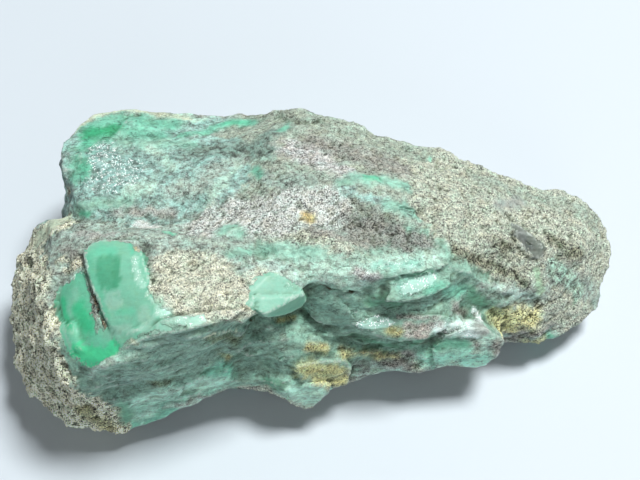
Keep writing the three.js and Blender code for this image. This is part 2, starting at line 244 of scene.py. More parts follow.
# A kind of rock: its red, green and blue as they look on a screen, from 0 to 255, how specked it is
# with grains, how blotched, its gloss, and how much it glints.
KINDS = {
    "deep green": (68, 194, 142, 0.0, 0.12, 0.5, 0.0),
    "green": (112, 202, 168, 0.0, 0.1, 0.5, 0.0),
    "slab green": (106, 194, 160, 0.0, 0.3, 0.5, 0.0),
    "slab deep": (70, 178, 130, 0.0, 0.2, 0.5, 0.0),
    "soft green": (132, 204, 178, 0.05, 0.35, 0.45, 0.0),
    "clear mint": (150, 204, 182, 0.0, 0.1, 0.45, 0.0),
    "mint": (158, 206, 187, 0.1, 0.35, 0.3, 0.0),
    "pale mint": (194, 226, 210, 0.3, 0.7, 0.3, 0.1),
    "rim cream": (214, 224, 200, 0.25, 0.35, 0.1, 0.0),
    "glittering": (150, 184, 178, 0.2, 1.0, 0.35, 2.6),
    "mottled": (160, 194, 186, 0.3, 1.1, 0.3, 0.25),
    "pale mottled": (190, 214, 204, 0.35, 0.9, 0.25, 0.3),
    "dark mottled": (136, 160, 150, 0.3, 1.1, 0.2, 0.1),
    "grey mottled": (178, 194, 184, 0.55, 1.0, 0.15, 0.1),
    "grey green": (182, 194, 180, 0.65, 0.6, 0.0, 0.0),
    "lilac": (190, 192, 186, 0.7, 0.4, 0.0, 0.0),
    "smooth grey": (178, 184, 178, 0.25, 0.3, 0.1, 0.0),
    "pink grey": (220, 219, 218, 0.95, 0.3, 0.0, 0.0),
    "pink sand": (208, 200, 192, 0.8, 0.3, 0.0, 0.0),
    "light grey": (228, 231, 227, 1.05, 0.25, 0.0, 0.1),
    "grey sand": (176, 176, 168, 0.9, 0.35, 0.0, 0.0),
    # The crown's grey, darkened as painted shade for a shallow hollow in shadow.
    "shaded hollow grey": (160, 162, 156, 1.15, 0.4, 0.0, 0.0),
    "sand": (208, 213, 197, 1.0, 0.3, 0.0, 0.0),
    # Darker, pitted sand, partly painted shade where the nose turns down and in its pits.
    "dark sand and shade": (158, 160, 140, 1.7, 0.8, 0.0, 0.0),
    # The crust's sandy tone, lightened as painted light, for the butt's left side is in shade here.
    "crust": (246, 246, 222, 1.42, 0.4, 0.0, 0.1),
    "olive crust": (200, 200, 160, 1.2, 0.6, 0.0, 0.0),
    "straw": (218, 216, 156, 0.65, 0.3, 0.0, 0.0),
    "ochre": (200, 194, 142, 0.8, 0.5, 0.0, 0.0),
    "rust": (130, 148, 120, 0.7, 0.5, 0.0, 0.0),
    "orange": (218, 196, 140, 0.7, 0.3, 0.0, 0.0),
    # The olive's own tone, lightened as painted light, for the faces it lies on are in shade here.
    "olive": (250, 246, 188, 1.2, 0.3, 0.0, 0.0),
    "lime": (178, 208, 178, 0.3, 0.5, 0.2, 0.0),
    "white": (236, 240, 238, 0.3, 0.2, 0.3, 0.5),
    "glass": (176, 224, 204, 0.0, 0.3, 0.8, 0.7),
    "quartz": (240, 248, 246, 0.0, 0.35, 0.7, 2.0),
    "grey glass": (92, 98, 94, 0.1, 0.3, 0.6, 0.0),
    "shade teal": (148, 186, 168, 0.2, 0.5, 0.25, 0.0),
    "panel green": (114, 199, 165, 0.0, 0.08, 0.5, 0.0),
    "panel mint": (128, 197, 169, 0.0, 0.08, 0.45, 0.0),
    "deep facet": (88, 174, 138, 0.0, 0.1, 0.5, 0.0),
    "deeper facet": (78, 162, 126, 0.0, 0.1, 0.5, 0.0),
    # Darker than the corner's clear mint top, as painted shade on its sides.
    "corner shaded side": (132, 190, 164, 0.0, 0.12, 0.4, 0.0),
    "cream sand": (226, 227, 208, 0.9, 0.25, 0.0, 0.1),
    "ochre spot": (224, 206, 160, 0.5, 0.3, 0.0, 0.0),
    "gravel": (150, 134, 112, 1.2, 0.5, 0.0, 0.0),
    "near grey": (160, 184, 168, 0.45, 0.8, 0.1, 0.0),
    "lead": (104, 122, 118, 0.2, 0.3, 0.3, 0.0),
    "teal": (150, 186, 172, 0.1, 0.4, 0.35, 0.0),
    # Lightened as painted light, for the low faces that it lies on are in shade here.
    "lip teal lit up": (194, 240, 220, 0.05, 0.4, 0.4, 0.0),
    "green shade": (118, 178, 148, 0.0, 0.3, 0.45, 0.0),
    "dark teal": (120, 158, 144, 0.1, 0.3, 0.35, 0.0),
    # Painted shadow in the slits under the ledges' overhangs.
    "slit shadow": (84, 82, 62, 0.5, 0.3, 0.0, 0.0),
    "aqua": (166, 222, 204, 0.05, 0.25, 0.35, 0.5),
    "sparkling": (188, 232, 218, 0.1, 0.3, 0.7, 2.2),
    # The bulge's two tones are lightened as painted light, for its faces are in shade here.
    "bulge mint lit up": (184, 255, 230, 0.05, 0.3, 0.45, 0.1),
    "bulge top lit up": (232, 255, 250, 0.0, 0.2, 0.5, 1.0),
    "bulge green": (116, 184, 156, 0.0, 0.2, 0.4, 0.0),
    # Brighter than the panel's deep green as painted light, for the panel's foot slopes into shade here.
    "foot green lit up": (80, 214, 156, 0.0, 0.12, 0.5, 0.0),
    "fibrous": (176, 200, 184, 0.9, 1.2, 0.1, 0.1),
    "lump": (120, 126, 118, 0.6, 0.7, 0.2, 0.0),
    "grey shade": (84, 88, 84, 0.2, 0.3, 0.3, 0.0),
}
# Kinds that fade out softly into what is beside them.
CLOUDY = (
    "deep green", "green", "soft green", "mint", "pale mint", "dark mottled", "lilac", "dark sand and shade",
    "ochre", "rust", "slab green", "slab deep", "aqua", "dark teal", "green shade", "teal", "straw",
    "olive", "olive crust", "orange", "near grey", "grey sand", "lip teal lit up", "shade teal", "pale mottled",
    "grey mottled", "grey green", "bulge mint lit up", "bulge top lit up", "bulge green", "light grey", "pink grey",
    "shaded hollow grey", "cream sand", "smooth grey", "pink sand",
)
# Clean variscite, quartz and the grey lump end at a sharp, ragged edge.
CLEAR = (
    "deep green", "foot green lit up", "green", "panel green", "panel mint", "clear mint", "deep facet",
    "deeper facet", "corner shaded side", "glass", "sparkling", "grey glass", "grey shade", "quartz", "lump",
)
# What lies in the beds where there is no mark, and the values of the beds' noise that it fades in
# between.
BEDS = (
    ("sand", -0.1, -0.25),
    ("grey mottled", 0.0, 0.12),
    ("pale mint", 0.2, 0.28),
    ("soft green", 0.38, 0.46),
)
# Each mark: its kind, its half width, and the path along its middle.
MARKS = [
    # The broad zones: the slab, the crown, the butt's crust and the nose.
    ("mottled", 15, [(-44, 14, 24), (-33, 12, 28), (-22, 14, 28)]),
    ("grey green", 15, [(-8, 16, 30), (6, 12, 32), (20, 8, 30)]),
    ("crust", 13, [(-60, -4, 12), (-58, -20, 12), (-50, -33, 8)]),
    ("sand", 17, [(32, 8, 26), (44, 5, 20), (58, 4, 12)]),
    ("grey mottled", 9, [(-48, -2, 30), (-34, -2, 34), (-18, -8, 36)]),
    ("shade teal", 12.8, [(-39, -31, 24), (-27, -28, 27), (-16, -24, 24), (-5, -20, 24), (7, -18, 26),
                          (20, -16, 27), (28, -12, 26)]),
    # The slab at the back left.
    ("mottled", 12, [(-43, 14, 32), (-33, 11, 33), (-25, 12, 34)]),
    ("glittering", 4.5, [(-45, 17, 31), (-43, 13, 32), (-39, 12, 32)]),
    ("dark mottled", 2.3, [(-26, 17, 33), (-20, 18, 33), (-15, 17, 33), (-10, 15, 36)]),
    ("grey mottled", 1.9, [(-28, 7, 33), (-23, 8, 34), (-20, 12, 35), (-15, 14, 34)]),
    ("soft green", 2.1, [(-48, 26, 29.5), (-44.5, 28, 29.3), (-40, 28.5, 29.2), (-35, 27.5, 29.3),
                         (-30, 26.5, 29.5)]),
    ("rim cream", 0.8, [(-51.5, 24.4, 29), (-49.7, 27, 29.2), (-47, 29.8, 28.7), (-43.5, 31.2, 28.4),
                        (-39.6, 31.5, 28.4), (-35.8, 31.3, 28), (-31.3, 30, 28.3), (-27, 28.8, 29)]),
    ("soft green", 2.4, [(-48, 20, 31), (-46, 24, 30), (-42, 25, 30), (-38, 24, 30), (-33, 23, 31)]),
    ("slab green", 1.8, [(-47, 22, 30), (-43, 24, 30)]),
    ("slab deep", 1.5, [(-47.5, 24.2, 29.8), (-44.8, 25, 29.8), (-42, 25, 30)]),
    ("soft green", 1, [(-37, 27, 30), (-32, 27, 29), (-29, 26, 30)]),
    ("soft green", 1.1, [(-28, 23, 31), (-23, 24, 30), (-21, 26, 30), (-18, 27, 29), (-13, 27, 30)]),
    ("slab green", 0.6, [(-19, 27, 29), (-14, 27, 30)]),
    ("mint", 1.9, [(-41, 22, 31), (-35, 20, 32), (-30, 20, 32), (-26, 20, 32)]),
    ("pale mint", 1.1, [(-34, 19, 32), (-31, 16, 33), (-29, 13, 33)]),
    ("soft green", 1.9, [(-49, 16, 31), (-48, 14, 32), (-48, 12, 31)]),
    ("slab green", 1.2, [(-48, 15, 32), (-47, 13, 32)]),
    ("pale mint", 1.7, [(-37, 7, 33), (-33, 8, 33)]),
    ("pale mint", 1.1, [(-21, 4, 34), (-20, 6, 35), (-18, 9, 35)]),
    ("pale mint", 0.5, [(-18, 9, 35), (-16, 12, 34), (-12, 14, 35), (-8, 13, 36)]),
    ("mint", 1.3, [(-48, 5, 30), (-45, 5, 32), (-40, 5, 32), (-37, 5, 32)]),
    ("slab green", 0.6, [(-48, 4, 30), (-45, 3, 31)]),
    ("lilac", 1.1, [(-39, 3, 32), (-33, 3, 32), (-28, 2, 32)]),
    ("white", 1.1, [(-35, 0, 32), (-33, -1, 32), (-31, -1, 33)]),
    ("crust", 0.9, [(-51, 12, 26)]),
    # The crown.
    ("grey green", 2.6, [(-7, 25, 33), (0, 23, 34), (7, 22, 33), (14, 20, 31), (22, 19, 29),
                         (26, 16, 29)]),
    ("dark mottled", 1.7, [(-12, 18, 35), (-9, 20, 35), (-6, 23, 34)]),
    ("soft green", 0.9, [(-7, 21, 34), (-6, 23, 34)]),
    ("soft green", 0.6, [(24, 18, 29), (25, 17, 29)]),
    ("grey sand", 3, [(0, 18, 35), (6, 16, 34), (12, 14, 34), (17, 12, 34)]),
    ("pink grey", 2.6, [(-5, 16, 36), (-1, 14, 36), (3, 11, 37), (6, 9, 38)]),
    ("light grey", 4.7, [(-21, -2, 34), (-15, 0, 35), (-8, -1, 37), (-3, 1, 37), (3, 1, 37)]),
    ("light grey", 2.1, [(-3, 4, 37), (1, 3, 38)]),
    ("grey mottled", 1.9, [(-10, 8, 36), (-6, 7, 37), (-1, 6, 38)]),
    ("soft green", 0.9, [(-12, 11, 35), (-11, 9, 36)]),
    ("mint", 1.5, [(5, 6, 38), (8, 7, 38), (12, 8, 36), (15, 8, 36), (18, 7, 35), (21, 7, 34)]),
    ("slab green", 0.9, [(10, 8, 37), (12, 8, 36)]),
    ("mint", 0.7, [(18, 7, 35), (21, 7, 34)]),
    ("mottled", 1.3, [(6, 4, 38), (11, 3, 37), (14, 2, 36)]),
    ("mint", 1.3, [(14, 2, 36), (17, 2, 35), (19, 1, 34), (22, 0, 33), (24, 0, 33)]),
    ("soft green", 0.9, [(17, -2, 34), (20, -3, 34), (23, -2, 33)]),
    ("shaded hollow grey", 2.6, [(7, -2, 35), (12, -2, 34), (15, -3, 34), (17, -5, 34), (21, -5, 34)]),
    ("orange", 1.1, [(-2, -1, 37), (-1, -2, 37)]),
    ("pale mint", 1.5, [(24, -2, 33), (26, -3, 33), (27, -5, 32)]),
    # The butt.
    ("crust", 3.4, [(-54.2, -7.7, 27.1), (-52, -14.1, 30), (-51.6, -17.8, 29), (-50.6, -22.3, 28.4),
                    (-49.6, -25.8, 26.9), (-48.2, -28.5, 24.5), (-47, -31, 21.5), (-45.4, -31.7, 17.6),
                    (-43, -33.1, 13)]),
    ("crust", 9.8, [(-61, -3, 19), (-58, -17, 19), (-54, -28, 16), (-47, -33, 10)]),
    ("crust", 3, [(-58, 1, 22), (-54, 2, 28), (-51, 2, 29)]),
    ("rim cream", 2.1, [(-56, 1, 25), (-52, 3, 28)]),
    ("grey mottled", 2.6, [(-48, -2, 32), (-44, -3, 34), (-39, -3, 34)]),
    ("lilac", 1.3, [(-46, -3, 33), (-42, -4, 35), (-39, -4, 35)]),
    ("grey mottled", 2.1, [(-50, -9, 32), (-49, -12, 31), (-50, -16, 30)]),
    ("grey mottled", 1.9, [(-30, -8, 37), (-27, -9, 37), (-25, -9, 37)]),
    ("green", 0.6, [(-29, -4, 36), (-27, -5, 36)]),
    ("mint", 1.7, [(-18, -4, 35), (-16, -3, 36), (-15, -4, 36)]),
    ("grey green", 1.7, [(-25, -7, 37), (-19, -8, 38), (-14, -10, 38)]),
    ("grey sand", 1.1, [(-48.7, -6.3, 32.4), (-46.4, -7.6, 33.7), (-44.8, -10.2, 34.5)]),
    ("crust", 1.1, [(-48.9, -8.7, 31.9), (-46.6, -10.5, 32.7), (-45.3, -10, 34)]),
    ("pale mottled", 0.5, [(-49.3, -9.4, 31.6), (-47.3, -9.8, 32.6)]),
    ("panel green", 2.1, [(-46.5, -15.3, 31.7), (-45.6, -20, 31.7), (-42.8, -22.8, 32.1)]),
    ("panel green", 1.9, [(-47.3, -16.8, 31.3), (-46.6, -19.7, 31.2), (-44.6, -23.7, 31.5),
                          (-42.8, -27.3, 31.1), (-40.8, -28.9, 31.4)]),
    ("panel green", 1.5, [(-44.7, -13.2, 33.6), (-43.8, -15.7, 32.5), (-42.9, -18.8, 31.8)]),
    ("panel green", 1.4, [(-48.3, -14.9, 31), (-48.2, -17, 30.5), (-47.4, -19.8, 30.6),
                          (-46.2, -22.6, 30.9), (-45.1, -26, 30.6)]),
    ("panel mint", 0.9, [(-45.4, -15.1, 32.2), (-45.5, -17.4, 31.6), (-46.3, -19.4, 31.3)]),
    ("deep green", 1.5, [(-44.4, -18.8, 31.9), (-43.2, -21, 31.9), (-42, -23.4, 31.7)]),
    ("deep green", 0.6, [(-48.2, -16.4, 30.7), (-47.2, -20, 30.9), (-46, -23, 31.7)]),
    ("panel mint", 2.1, [(-38.6, -25.8, 33.1), (-36.1, -26.4, 34.3), (-34.2, -25.4, 35.5)]),
    ("panel mint", 2.2, [(-37.4, -23.4, 34.8), (-34.7, -23.1, 35.9), (-31.7, -23.2, 36.8)]),
    ("foot green lit up", 1.9, [(-44.2, -27, 30.2), (-41.7, -28.5, 30.9), (-38.8, -28.9, 32.3),
                         (-37, -28.2, 33.2)]),
    ("green", 1.3, [(-41.4, -25.4, 32.2), (-38.9, -26.7, 33.2)]),
    ("clear mint", 0.3, [(-48.7, -13.2, 31.2), (-49.3, -16.1, 30.1), (-49.1, -19, 29.8),
                         (-47.2, -22, 31.1), (-46.1, -25.1, 30.9), (-44.9, -28.1, 29.5),
                         (-44.3, -29.9, 27.2)]),
    ("pale mint", 0.6, [(-42.1, -30.6, 26.5), (-40, -30.9, 30.5), (-38.4, -30.1, 31.5),
                        (-36.1, -29.5, 32.6)]),
    ("panel mint", 3.4, [(-39.8, -11.5, 36.6), (-37.7, -19.3, 35.8), (-35.1, -23.1, 35.9)]),
    ("panel mint", 3.4, [(-34.8, -11.9, 37.2), (-33.2, -17.9, 37.1), (-31.7, -22.6, 37.2)]),
    ("panel mint", 1.5, [(-42.4, -8.6, 36.2), (-39, -8.2, 36.6), (-35.5, -8.3, 36.8)]),
    ("panel green", 1, [(-42.7, -9.9, 36.2), (-42.1, -12.8, 35.8), (-41, -16.1, 35.4)]),
    ("panel green", 0.9, [(-40.6, -16.6, 35.6), (-39.8, -19.7, 35), (-38.7, -22.1, 34.7)]),
    ("green", 1.1, [(-41.2, -9.4, 36.4), (-38.5, -9.4, 36.7)]),
    ("deep facet", 0.9, [(-40.3, -11, 36.3), (-39.6, -16.3, 35.9)]),
    ("deep facet", 0.9, [(-38.9, -10.6, 36.6), (-38.3, -16.5, 36.3)]),
    ("deeper facet", 0.7, [(-37.5, -10.8, 36.8), (-37.2, -16.4, 36.6)]),
    ("clear mint", 0.3, [(-39.4, -17.5, 35.7), (-37.8, -18, 36.1), (-36.4, -17.8, 36.5),
                         (-35.9, -19.6, 36.3)]),
    ("clear mint", 1.1, [(-38.5, -19.2, 35.6), (-36.8, -20.2, 35.9)]),
    ("green", 0.6, [(-36.4, -21.6, 35.7), (-33.6, -22, 36.6)]),
    ("clear mint", 1.3, [(-31.3, -22.2, 37.3), (-30.8, -25, 37.1)]),
    ("clear mint", 1.1, [(-34, -26, 36.5), (-37, -25.2, 34.4)]),
    ("green", 0.5, [(-35, -7.6, 36.7), (-34.6, -9.6, 37.1)]),
    ("ochre spot", 0.5, [(-34.1, -8.6, 36.8), (-33.3, -9.3, 37)]),
    ("glass", 0.6, [(-34.1, -11, 37.2), (-33.9, -12.8, 37.3), (-32.7, -15.6, 37.5),
                    (-31.9, -17.2, 37.4)]),
    ("glass", 0.3, [(-31.2, -18.5, 37.5), (-29.9, -20.3, 37.7), (-28.7, -21.6, 37.7)]),
    ("gravel", 0.35, [(-42.2, -16.5, 34.1), (-41.1, -18.9, 33.9), (-40.1, -21.8, 33.7),
                      (-39, -23.6, 33.4)]),
    ("grey mottled", 1.9, [(-31, -8.8, 36.4), (-25.6, -8, 36.7), (-20.6, -9.3, 37.4),
                           (-15.9, -12.4, 38)]),
    ("lilac", 1.3, [(-30.6, -11.9, 37.3), (-29.3, -14.7, 36.8)]),
    ("cream sand", 3.6, [(-27.1, -14.5, 36.5), (-22.5, -13.8, 36.7), (-17.6, -16.2, 37.9),
                         (-14.6, -19.1, 36.9)]),
    ("cream sand", 3.4, [(-27.2, -17.4, 37.8), (-23, -20, 37.1), (-18.5, -21, 37.4),
                         (-14.1, -20.3, 36.9)]),
    ("cream sand", 1.9, [(-28.2, -11.7, 36.9), (-23.6, -11, 36.5), (-19.2, -13.1, 37.8)]),
    ("glass", 1, [(-28.3, -22.7, 37.5), (-27, -23.5, 37.4)]),
    ("glass", 1, [(-24.6, -24.2, 37.4), (-22.4, -24.8, 37.2), (-20.5, -24.3, 37.7)]),
    ("clear mint", 0.5, [(-30.1, -23.9, 37.4), (-28.2, -25.4, 37.1), (-26.3, -26.1, 36.8)]),
    # The near face.
    ("soft green", 3, [(-34, -31, 14), (-28, -30, 15), (-23, -28, 15), (-18, -26, 18)]),
    ("crust", 3, [(-47, -31, 20), (-43, -32, 18), (-42, -33, 14)]),
    ("olive crust", 1.9, [(-45, -32, 15), (-43, -33, 12), (-41, -34, 9)]),
    ("pale mint", 1.9, [(-10, -9, 36), (-5, -9, 36), (0, -11, 36), (3, -11, 36)]),
    ("pale mottled", 2.1, [(-8, -12, 36), (-3, -13, 36), (3, -13, 35), (9, -14, 33)]),
    ("soft green", 1.7, [(-5, -28, 14), (-2, -28, 13), (1, -26, 10)]),
    ("quartz", 0.7, [(32, -13, 20), (33, -15, 19)]),
    ("teal", 1.2, [(-33.5, -28, 34.3), (-30, -27.8, 34.9), (-27, -27.4, 35), (-22.8, -26.8, 34.9)]),
    ("pale mint", 0.4, [(-34.6, -29.5, 32.6), (-32.6, -28.7, 33.2)]),
    ("rim cream", 0.5, [(-33.6, -27.4, 35.1), (-32.5, -27.8, 34.9)]),
    ("lead", 0.3, [(-38.3, -30.2, 24.8), (-36.7, -30.2, 25.6), (-34.4, -30, 26), (-31.9, -30.4, 27.3),
                   (-30.5, -29, 24)]),
    ("rust", 0.7, [(-33.5, -30.5, 22.3), (-31.6, -29.6, 21.4), (-29.9, -28.7, 19.7),
                   (-28.1, -28.1, 19.4)]),
    ("near grey", 0.6, [(-37.2, -31.3, 21.3), (-35.3, -30.8, 21.7), (-33.7, -30.6, 22)]),
    ("teal", 1.5, [(-38.5, -30.5, 23.2), (-35.5, -30, 23.4), (-31.4, -29.1, 23.4)]),
    ("lip teal lit up", 2.3, [(-35.1, -31.1, 14.8), (-29.3, -29.7, 16), (-23.5, -27.9, 15.8),
                       (-19.7, -26.8, 15.3)]),
    ("lip teal lit up", 1.5, [(-34.8, -32.1, 9.8), (-32.3, -31, 11.3)]),
    ("green shade", 1.3, [(-37.1, -31.8, 15.9), (-37.5, -32.7, 10.2)]),
    ("near grey", 0.6, [(-28.2, -29.2, 17.6), (-27.1, -29.1, 16.5)]),
    ("rust", 1.2, [(-19.2, -25.9, 32.1), (-17, -24.6, 30.3), (-14.9, -22.4, 25.6)]),
    ("rim cream", 0.2, [(-20.6, -25.9, 33.2), (-17.7, -24.8, 33.1), (-13.3, -21.3, 27.6)]),
    ("ochre", 0.7, [(-18.6, -24.9, 23.5), (-16.4, -23.5, 20.1)]),
    ("ochre", 0.4, [(-20.8, -26.2, 23.9), (-19.4, -25.4, 23.2)]),
    ("near grey", 0.7, [(-6.2, -20.8, 23.9), (-5.8, -22.7, 21.2)]),
    ("green shade", 1.3, [(-8.9, -26.1, 13.8), (-5.7, -27.5, 14)]),
    ("pale mint", 0.5, [(-9, -20, 25.6), (-7.5, -20.4, 24.8)]),
    # A painted shadow along the crack at the corner's foot.
    ("slit shadow", 0.3, [(-16.5, -24.4, 37.2), (-13.8, -23.5, 34.9), (-11.7, -18.8, 27.1),
                   (-8.8, -21.2, 32.3)]),
    ("ochre", 0.6, [(-9.1, -21.5, 31.8), (-6.8, -17.8, 25.3), (-3.9, -16.5, 24.4)]),
    ("lip teal lit up", 2.4, [(-4.9, -27.7, 12.6), (-2.4, -27.6, 11.5), (0.6, -27.4, 10.5)]),
    ("straw", 1.7, [(-2.9, -24.7, 17.4), (1, -24.6, 17.2), (5, -24.2, 15.4)]),
    ("straw", 1.3, [(0.6, -25.6, 14.6), (3.8, -25.7, 13), (6.2, -24.4, 12.1)]),
    ("ochre", 1, [(-1, -21.6, 21), (2, -21.1, 19.7)]),
    ("orange", 0.3, [(1.2, -21, 20.3), (2, -20.9, 20.2)]),
    ("ochre", 1.1, [(6.1, -21.4, 17.8), (9.3, -20.9, 16.7), (13, -20.7, 15.3), (16.6, -20.7, 14.9)]),
    ("olive", 0.6, [(14.2, -20.9, 14.9), (16.6, -21, 14.3)]),
    ("lilac", 0.7, [(17.8, -19.8, 15.3), (19.8, -20.3, 15), (21.2, -20.6, 14.6)]),
    ("clear mint", 2.3, [(-9.8, -17.6, 37.3), (-7, -16.8, 37.1), (-7.9, -19.7, 36.5)]),
    ("corner shaded side", 0.9, [(-8.7, -21, 34.4), (-5.6, -19.1, 34), (-3, -17.8, 31.6)]),
    ("pale mint", 0.6, [(-9.7, -20.5, 36.5), (-8.9, -21.3, 33.6)]),
    ("pale mottled", 0.9, [(-4.6, -15.5, 35.5), (-2.8, -15.8, 34.2)]),
    ("dark teal", 2.3, [(-0.7, -17.1, 27.1), (2.5, -17.2, 27.3), (5.3, -18.8, 25.4)]),
    ("dark teal", 1.1, [(5.8, -15.4, 28.9), (8.3, -15.9, 27.4)]),
    ("pale mint", 0.2, [(3.1, -15.3, 29.5), (4.7, -16.3, 28.5), (5.8, -17.1, 27.6), (6.8, -18.1, 26.2)]),
    ("pale mint", 0.3, [(-0.5, -15.3, 30.2), (1.8, -14.7, 30), (3.9, -14.7, 29.9)]),
    # A painted shadow in the slit over the dark face.
    ("slit shadow", 0.4, [(-0.5, -15, 32.5), (1, -14.5, 32.7), (2.9, -13.8, 30.7), (5.2, -14.1, 30.4),
                   (7.1, -14.4, 30.2)]),
    ("green shade", 1.3, [(10.9, -15.6, 28), (13.3, -15.8, 29.1), (15.9, -15.8, 28)]),
    ("pale mint", 2.8, [(-3.2, -11.1, 35.9), (1.4, -12, 35.2), (6.3, -13.3, 34.4)]),
    ("mint", 1.5, [(-15.6, -10.2, 38), (-10.1, -7.9, 35.8), (-2.8, -9.2, 36.4), (1.4, -9.4, 36.7)]),
    ("pale mint", 1.9, [(8.6, -11.8, 34.8), (13.4, -10.4, 34.7), (18.2, -9.6, 34.8), (23.1, -8.5, 33.9)]),
    ("aqua", 1.3, [(12, -11.2, 34.6), (15.8, -11.4, 34.9), (19.7, -10.1, 34.3)]),
    ("pink grey", 1.1, [(8, -12.4, 34.7), (9.7, -13, 34), (11.3, -13.5, 33.7)]),
    ("aqua", 1.5, [(16.3, -14.3, 31.6), (19.2, -13.5, 31.7), (22.5, -12.1, 31.6)]),
    ("green shade", 0.5, [(15.7, -13.6, 32.3), (17.2, -12.9, 32.9), (19.8, -12.1, 32.7),
                          (22.7, -11.2, 32.3)]),
    ("sparkling", 1.3, [(17.8, -14.3, 31.5), (20.2, -13.4, 31.5), (22.1, -12.3, 31.6)]),
    ("green", 0.6, [(24.5, -10.9, 32.2), (25.3, -10.4, 31.8)]),
    ("soft green", 1.3, [(22.1, -14.4, 30.7), (24.9, -13.4, 29.5), (28.6, -11.6, 25.2)]),
    ("lip teal lit up", 1.1, [(18.1, -15.9, 26.1), (21.3, -15.3, 25.9), (23.9, -14.3, 25.3)]),
    ("grey sand", 1, [(27.6, -14.1, 23.3), (29.5, -13.6, 20.4)]),
    ("grey sand", 0.5, [(16.2, -17.2, 25.2), (19.7, -17, 24.9), (23.7, -16.8, 24.2)]),
    ("sparkling", 1, [(9, -18.7, 24.4), (11.1, -18.1, 24.5), (14.2, -17.8, 24.3)]),
    ("ochre", 0.9, [(14.5, -19.1, 23.1), (16.4, -19.3, 22.6)]),
    ("pink sand", 1, [(17.8, -18.6, 23.8), (21.5, -18.5, 23.1), (24.7, -17.6, 22.7)]),
    ("pink sand", 0.9, [(18.2, -19.4, 22.4), (21.7, -19.4, 22.4)]),
    ("green shade", 0.6, [(7.3, -18.4, 20.4), (10.5, -19.2, 19.1), (14, -19.1, 17.1), (18, -18.7, 16.3),
                          (21.6, -19.4, 19.3)]),
    ("bulge mint lit up", 2.6, [(23.1, -20.3, 13.8), (28, -20.5, 14.5), (33, -20.8, 13)]),
    ("bulge top lit up", 1.8, [(24.6, -18.3, 21.2), (28.7, -16.9, 20.9), (31.6, -17.2, 20.6)]),
    ("bulge green", 1, [(24.1, -19.7, 17.3), (26.8, -19.5, 18.3), (30, -19.3, 17.5)]),
    ("pale mint", 1.3, [(33.6, -18.7, 18.5), (34.7, -19.8, 16.2)]),
    ("grey sand", 0.7, [(31.4, -19.1, 18.3), (32.3, -19.2, 17.3)]),
    ("smooth grey", 1.3, [(32.3, -16.5, 20.7), (33.8, -17.7, 20.7)]),
    ("white", 0.5, [(32.1, -12.9, 19.5), (32.5, -14.9, 19.8)]),
    ("green shade", 1.1, [(31.1, -11.6, 23.2), (32.9, -12, 21.6)]),
    # The nose.
    ("sand", 12.8, [(31, 7, 30), (39, 4, 27), (48, 2, 25), (57, 4, 20)]),
    ("grey green", 2.1, [(34, 14, 27), (43, 12, 25), (52, 12, 22), (59, 10, 18)]),
    ("grey green", 1.1, [(38, 8, 28), (40, 8, 27), (42, 8, 26)]),
    ("grey mottled", 2.1, [(33, -11, 25), (37, -10, 23), (42, -9, 21), (46, -9, 19)]),
    ("grey mottled", 2.6, [(49, -5, 21), (54, -5, 17), (58, -4, 12), (60, -4, 9)]),
    ("green shade", 1.1, [(31, -11, 25), (32, -11, 23), (34, -12, 21)]),
    ("near grey", 1.3, [(35.1, -10.3, 23.8), (39.5, -10.2, 21.2), (44, -9.7, 17.9)]),
    ("pale mottled", 1, [(36.4, -9.3, 23.7), (40, -9.8, 21.6), (43.5, -9.6, 18.5)]),
    ("dark sand and shade", 1.5, [(27.9, -5.6, 31.3), (32.2, -6.1, 27.6), (37.1, -5.4, 24)]),
    ("dark sand and shade", 1.1, [(35.7, -1.1, 27.8), (38.6, -2.5, 26.2)]),
    ("dark sand and shade", 1.1, [(39.5, -6.4, 23), (41.9, -7.8, 22.3)]),
    ("dark sand and shade", 1.3, [(48.1, 1.4, 24.6), (51, -0.5, 23), (54.6, -0.4, 21.2)]),
    ("smooth grey", 1.3, [(36.9, 7, 28.6), (39.8, 7.9, 26.8), (42.2, 9.9, 25.8)]),
    ("lump", 1.9, [(40.6, 1.9, 28.2), (42, 0.4, 28.2), (43.6, -1, 27.3), (45, -2.4, 25.6)]),
    ("grey glass", 1, [(41, 0.2, 27.8), (42.2, -0.9, 27.3), (43.1, -1.9, 26.6)]),
    ("white", 0.2, [(41.2, -1.2, 27.2), (42.2, -2.2, 26.5), (43.2, -2.6, 26.3)]),
    ("white", 0.2, [(43.1, -0.7, 27.6), (44, -1.2, 27)]),
    ("grey shade", 0.5, [(42.3, -1.1, 27.3), (43.1, -1.7, 26.9)]),
    ("lime", 0.9, [(44.5, -5.4, 22.5), (45.2, -7.5, 20.8), (45.7, -8.7, 19.3)]),
    ("fibrous", 1.9, [(48.8, -4.1, 21.9), (51.6, -5.2, 19), (54.9, -5.4, 14.3)]),
    ("fibrous", 1.2, [(51.1, -4.2, 20.5), (53.2, -4.4, 17.5), (55.5, -4.5, 14)]),
    ("olive", 2.3, [(36.6, -12.8, 16.6), (40.4, -12.5, 16.1), (44.3, -12.2, 14.7)]),
    ("olive", 1.5, [(37.1, -14.3, 15.3), (40.3, -13.8, 12.6)]),
    ("white", 0.2, [(35.3, -20.7, 11.6), (36.7, -20.3, 14), (37.6, -19.3, 16)]),
    ("olive crust", 1.1, [(42.4, -14.9, 8.7), (48.3, -13.8, 8.8)]),
    ("sand", 1.7, [(48.3, -11, 13.3), (53, -9.9, 10.4), (56.8, -6.8, 10)]),
]


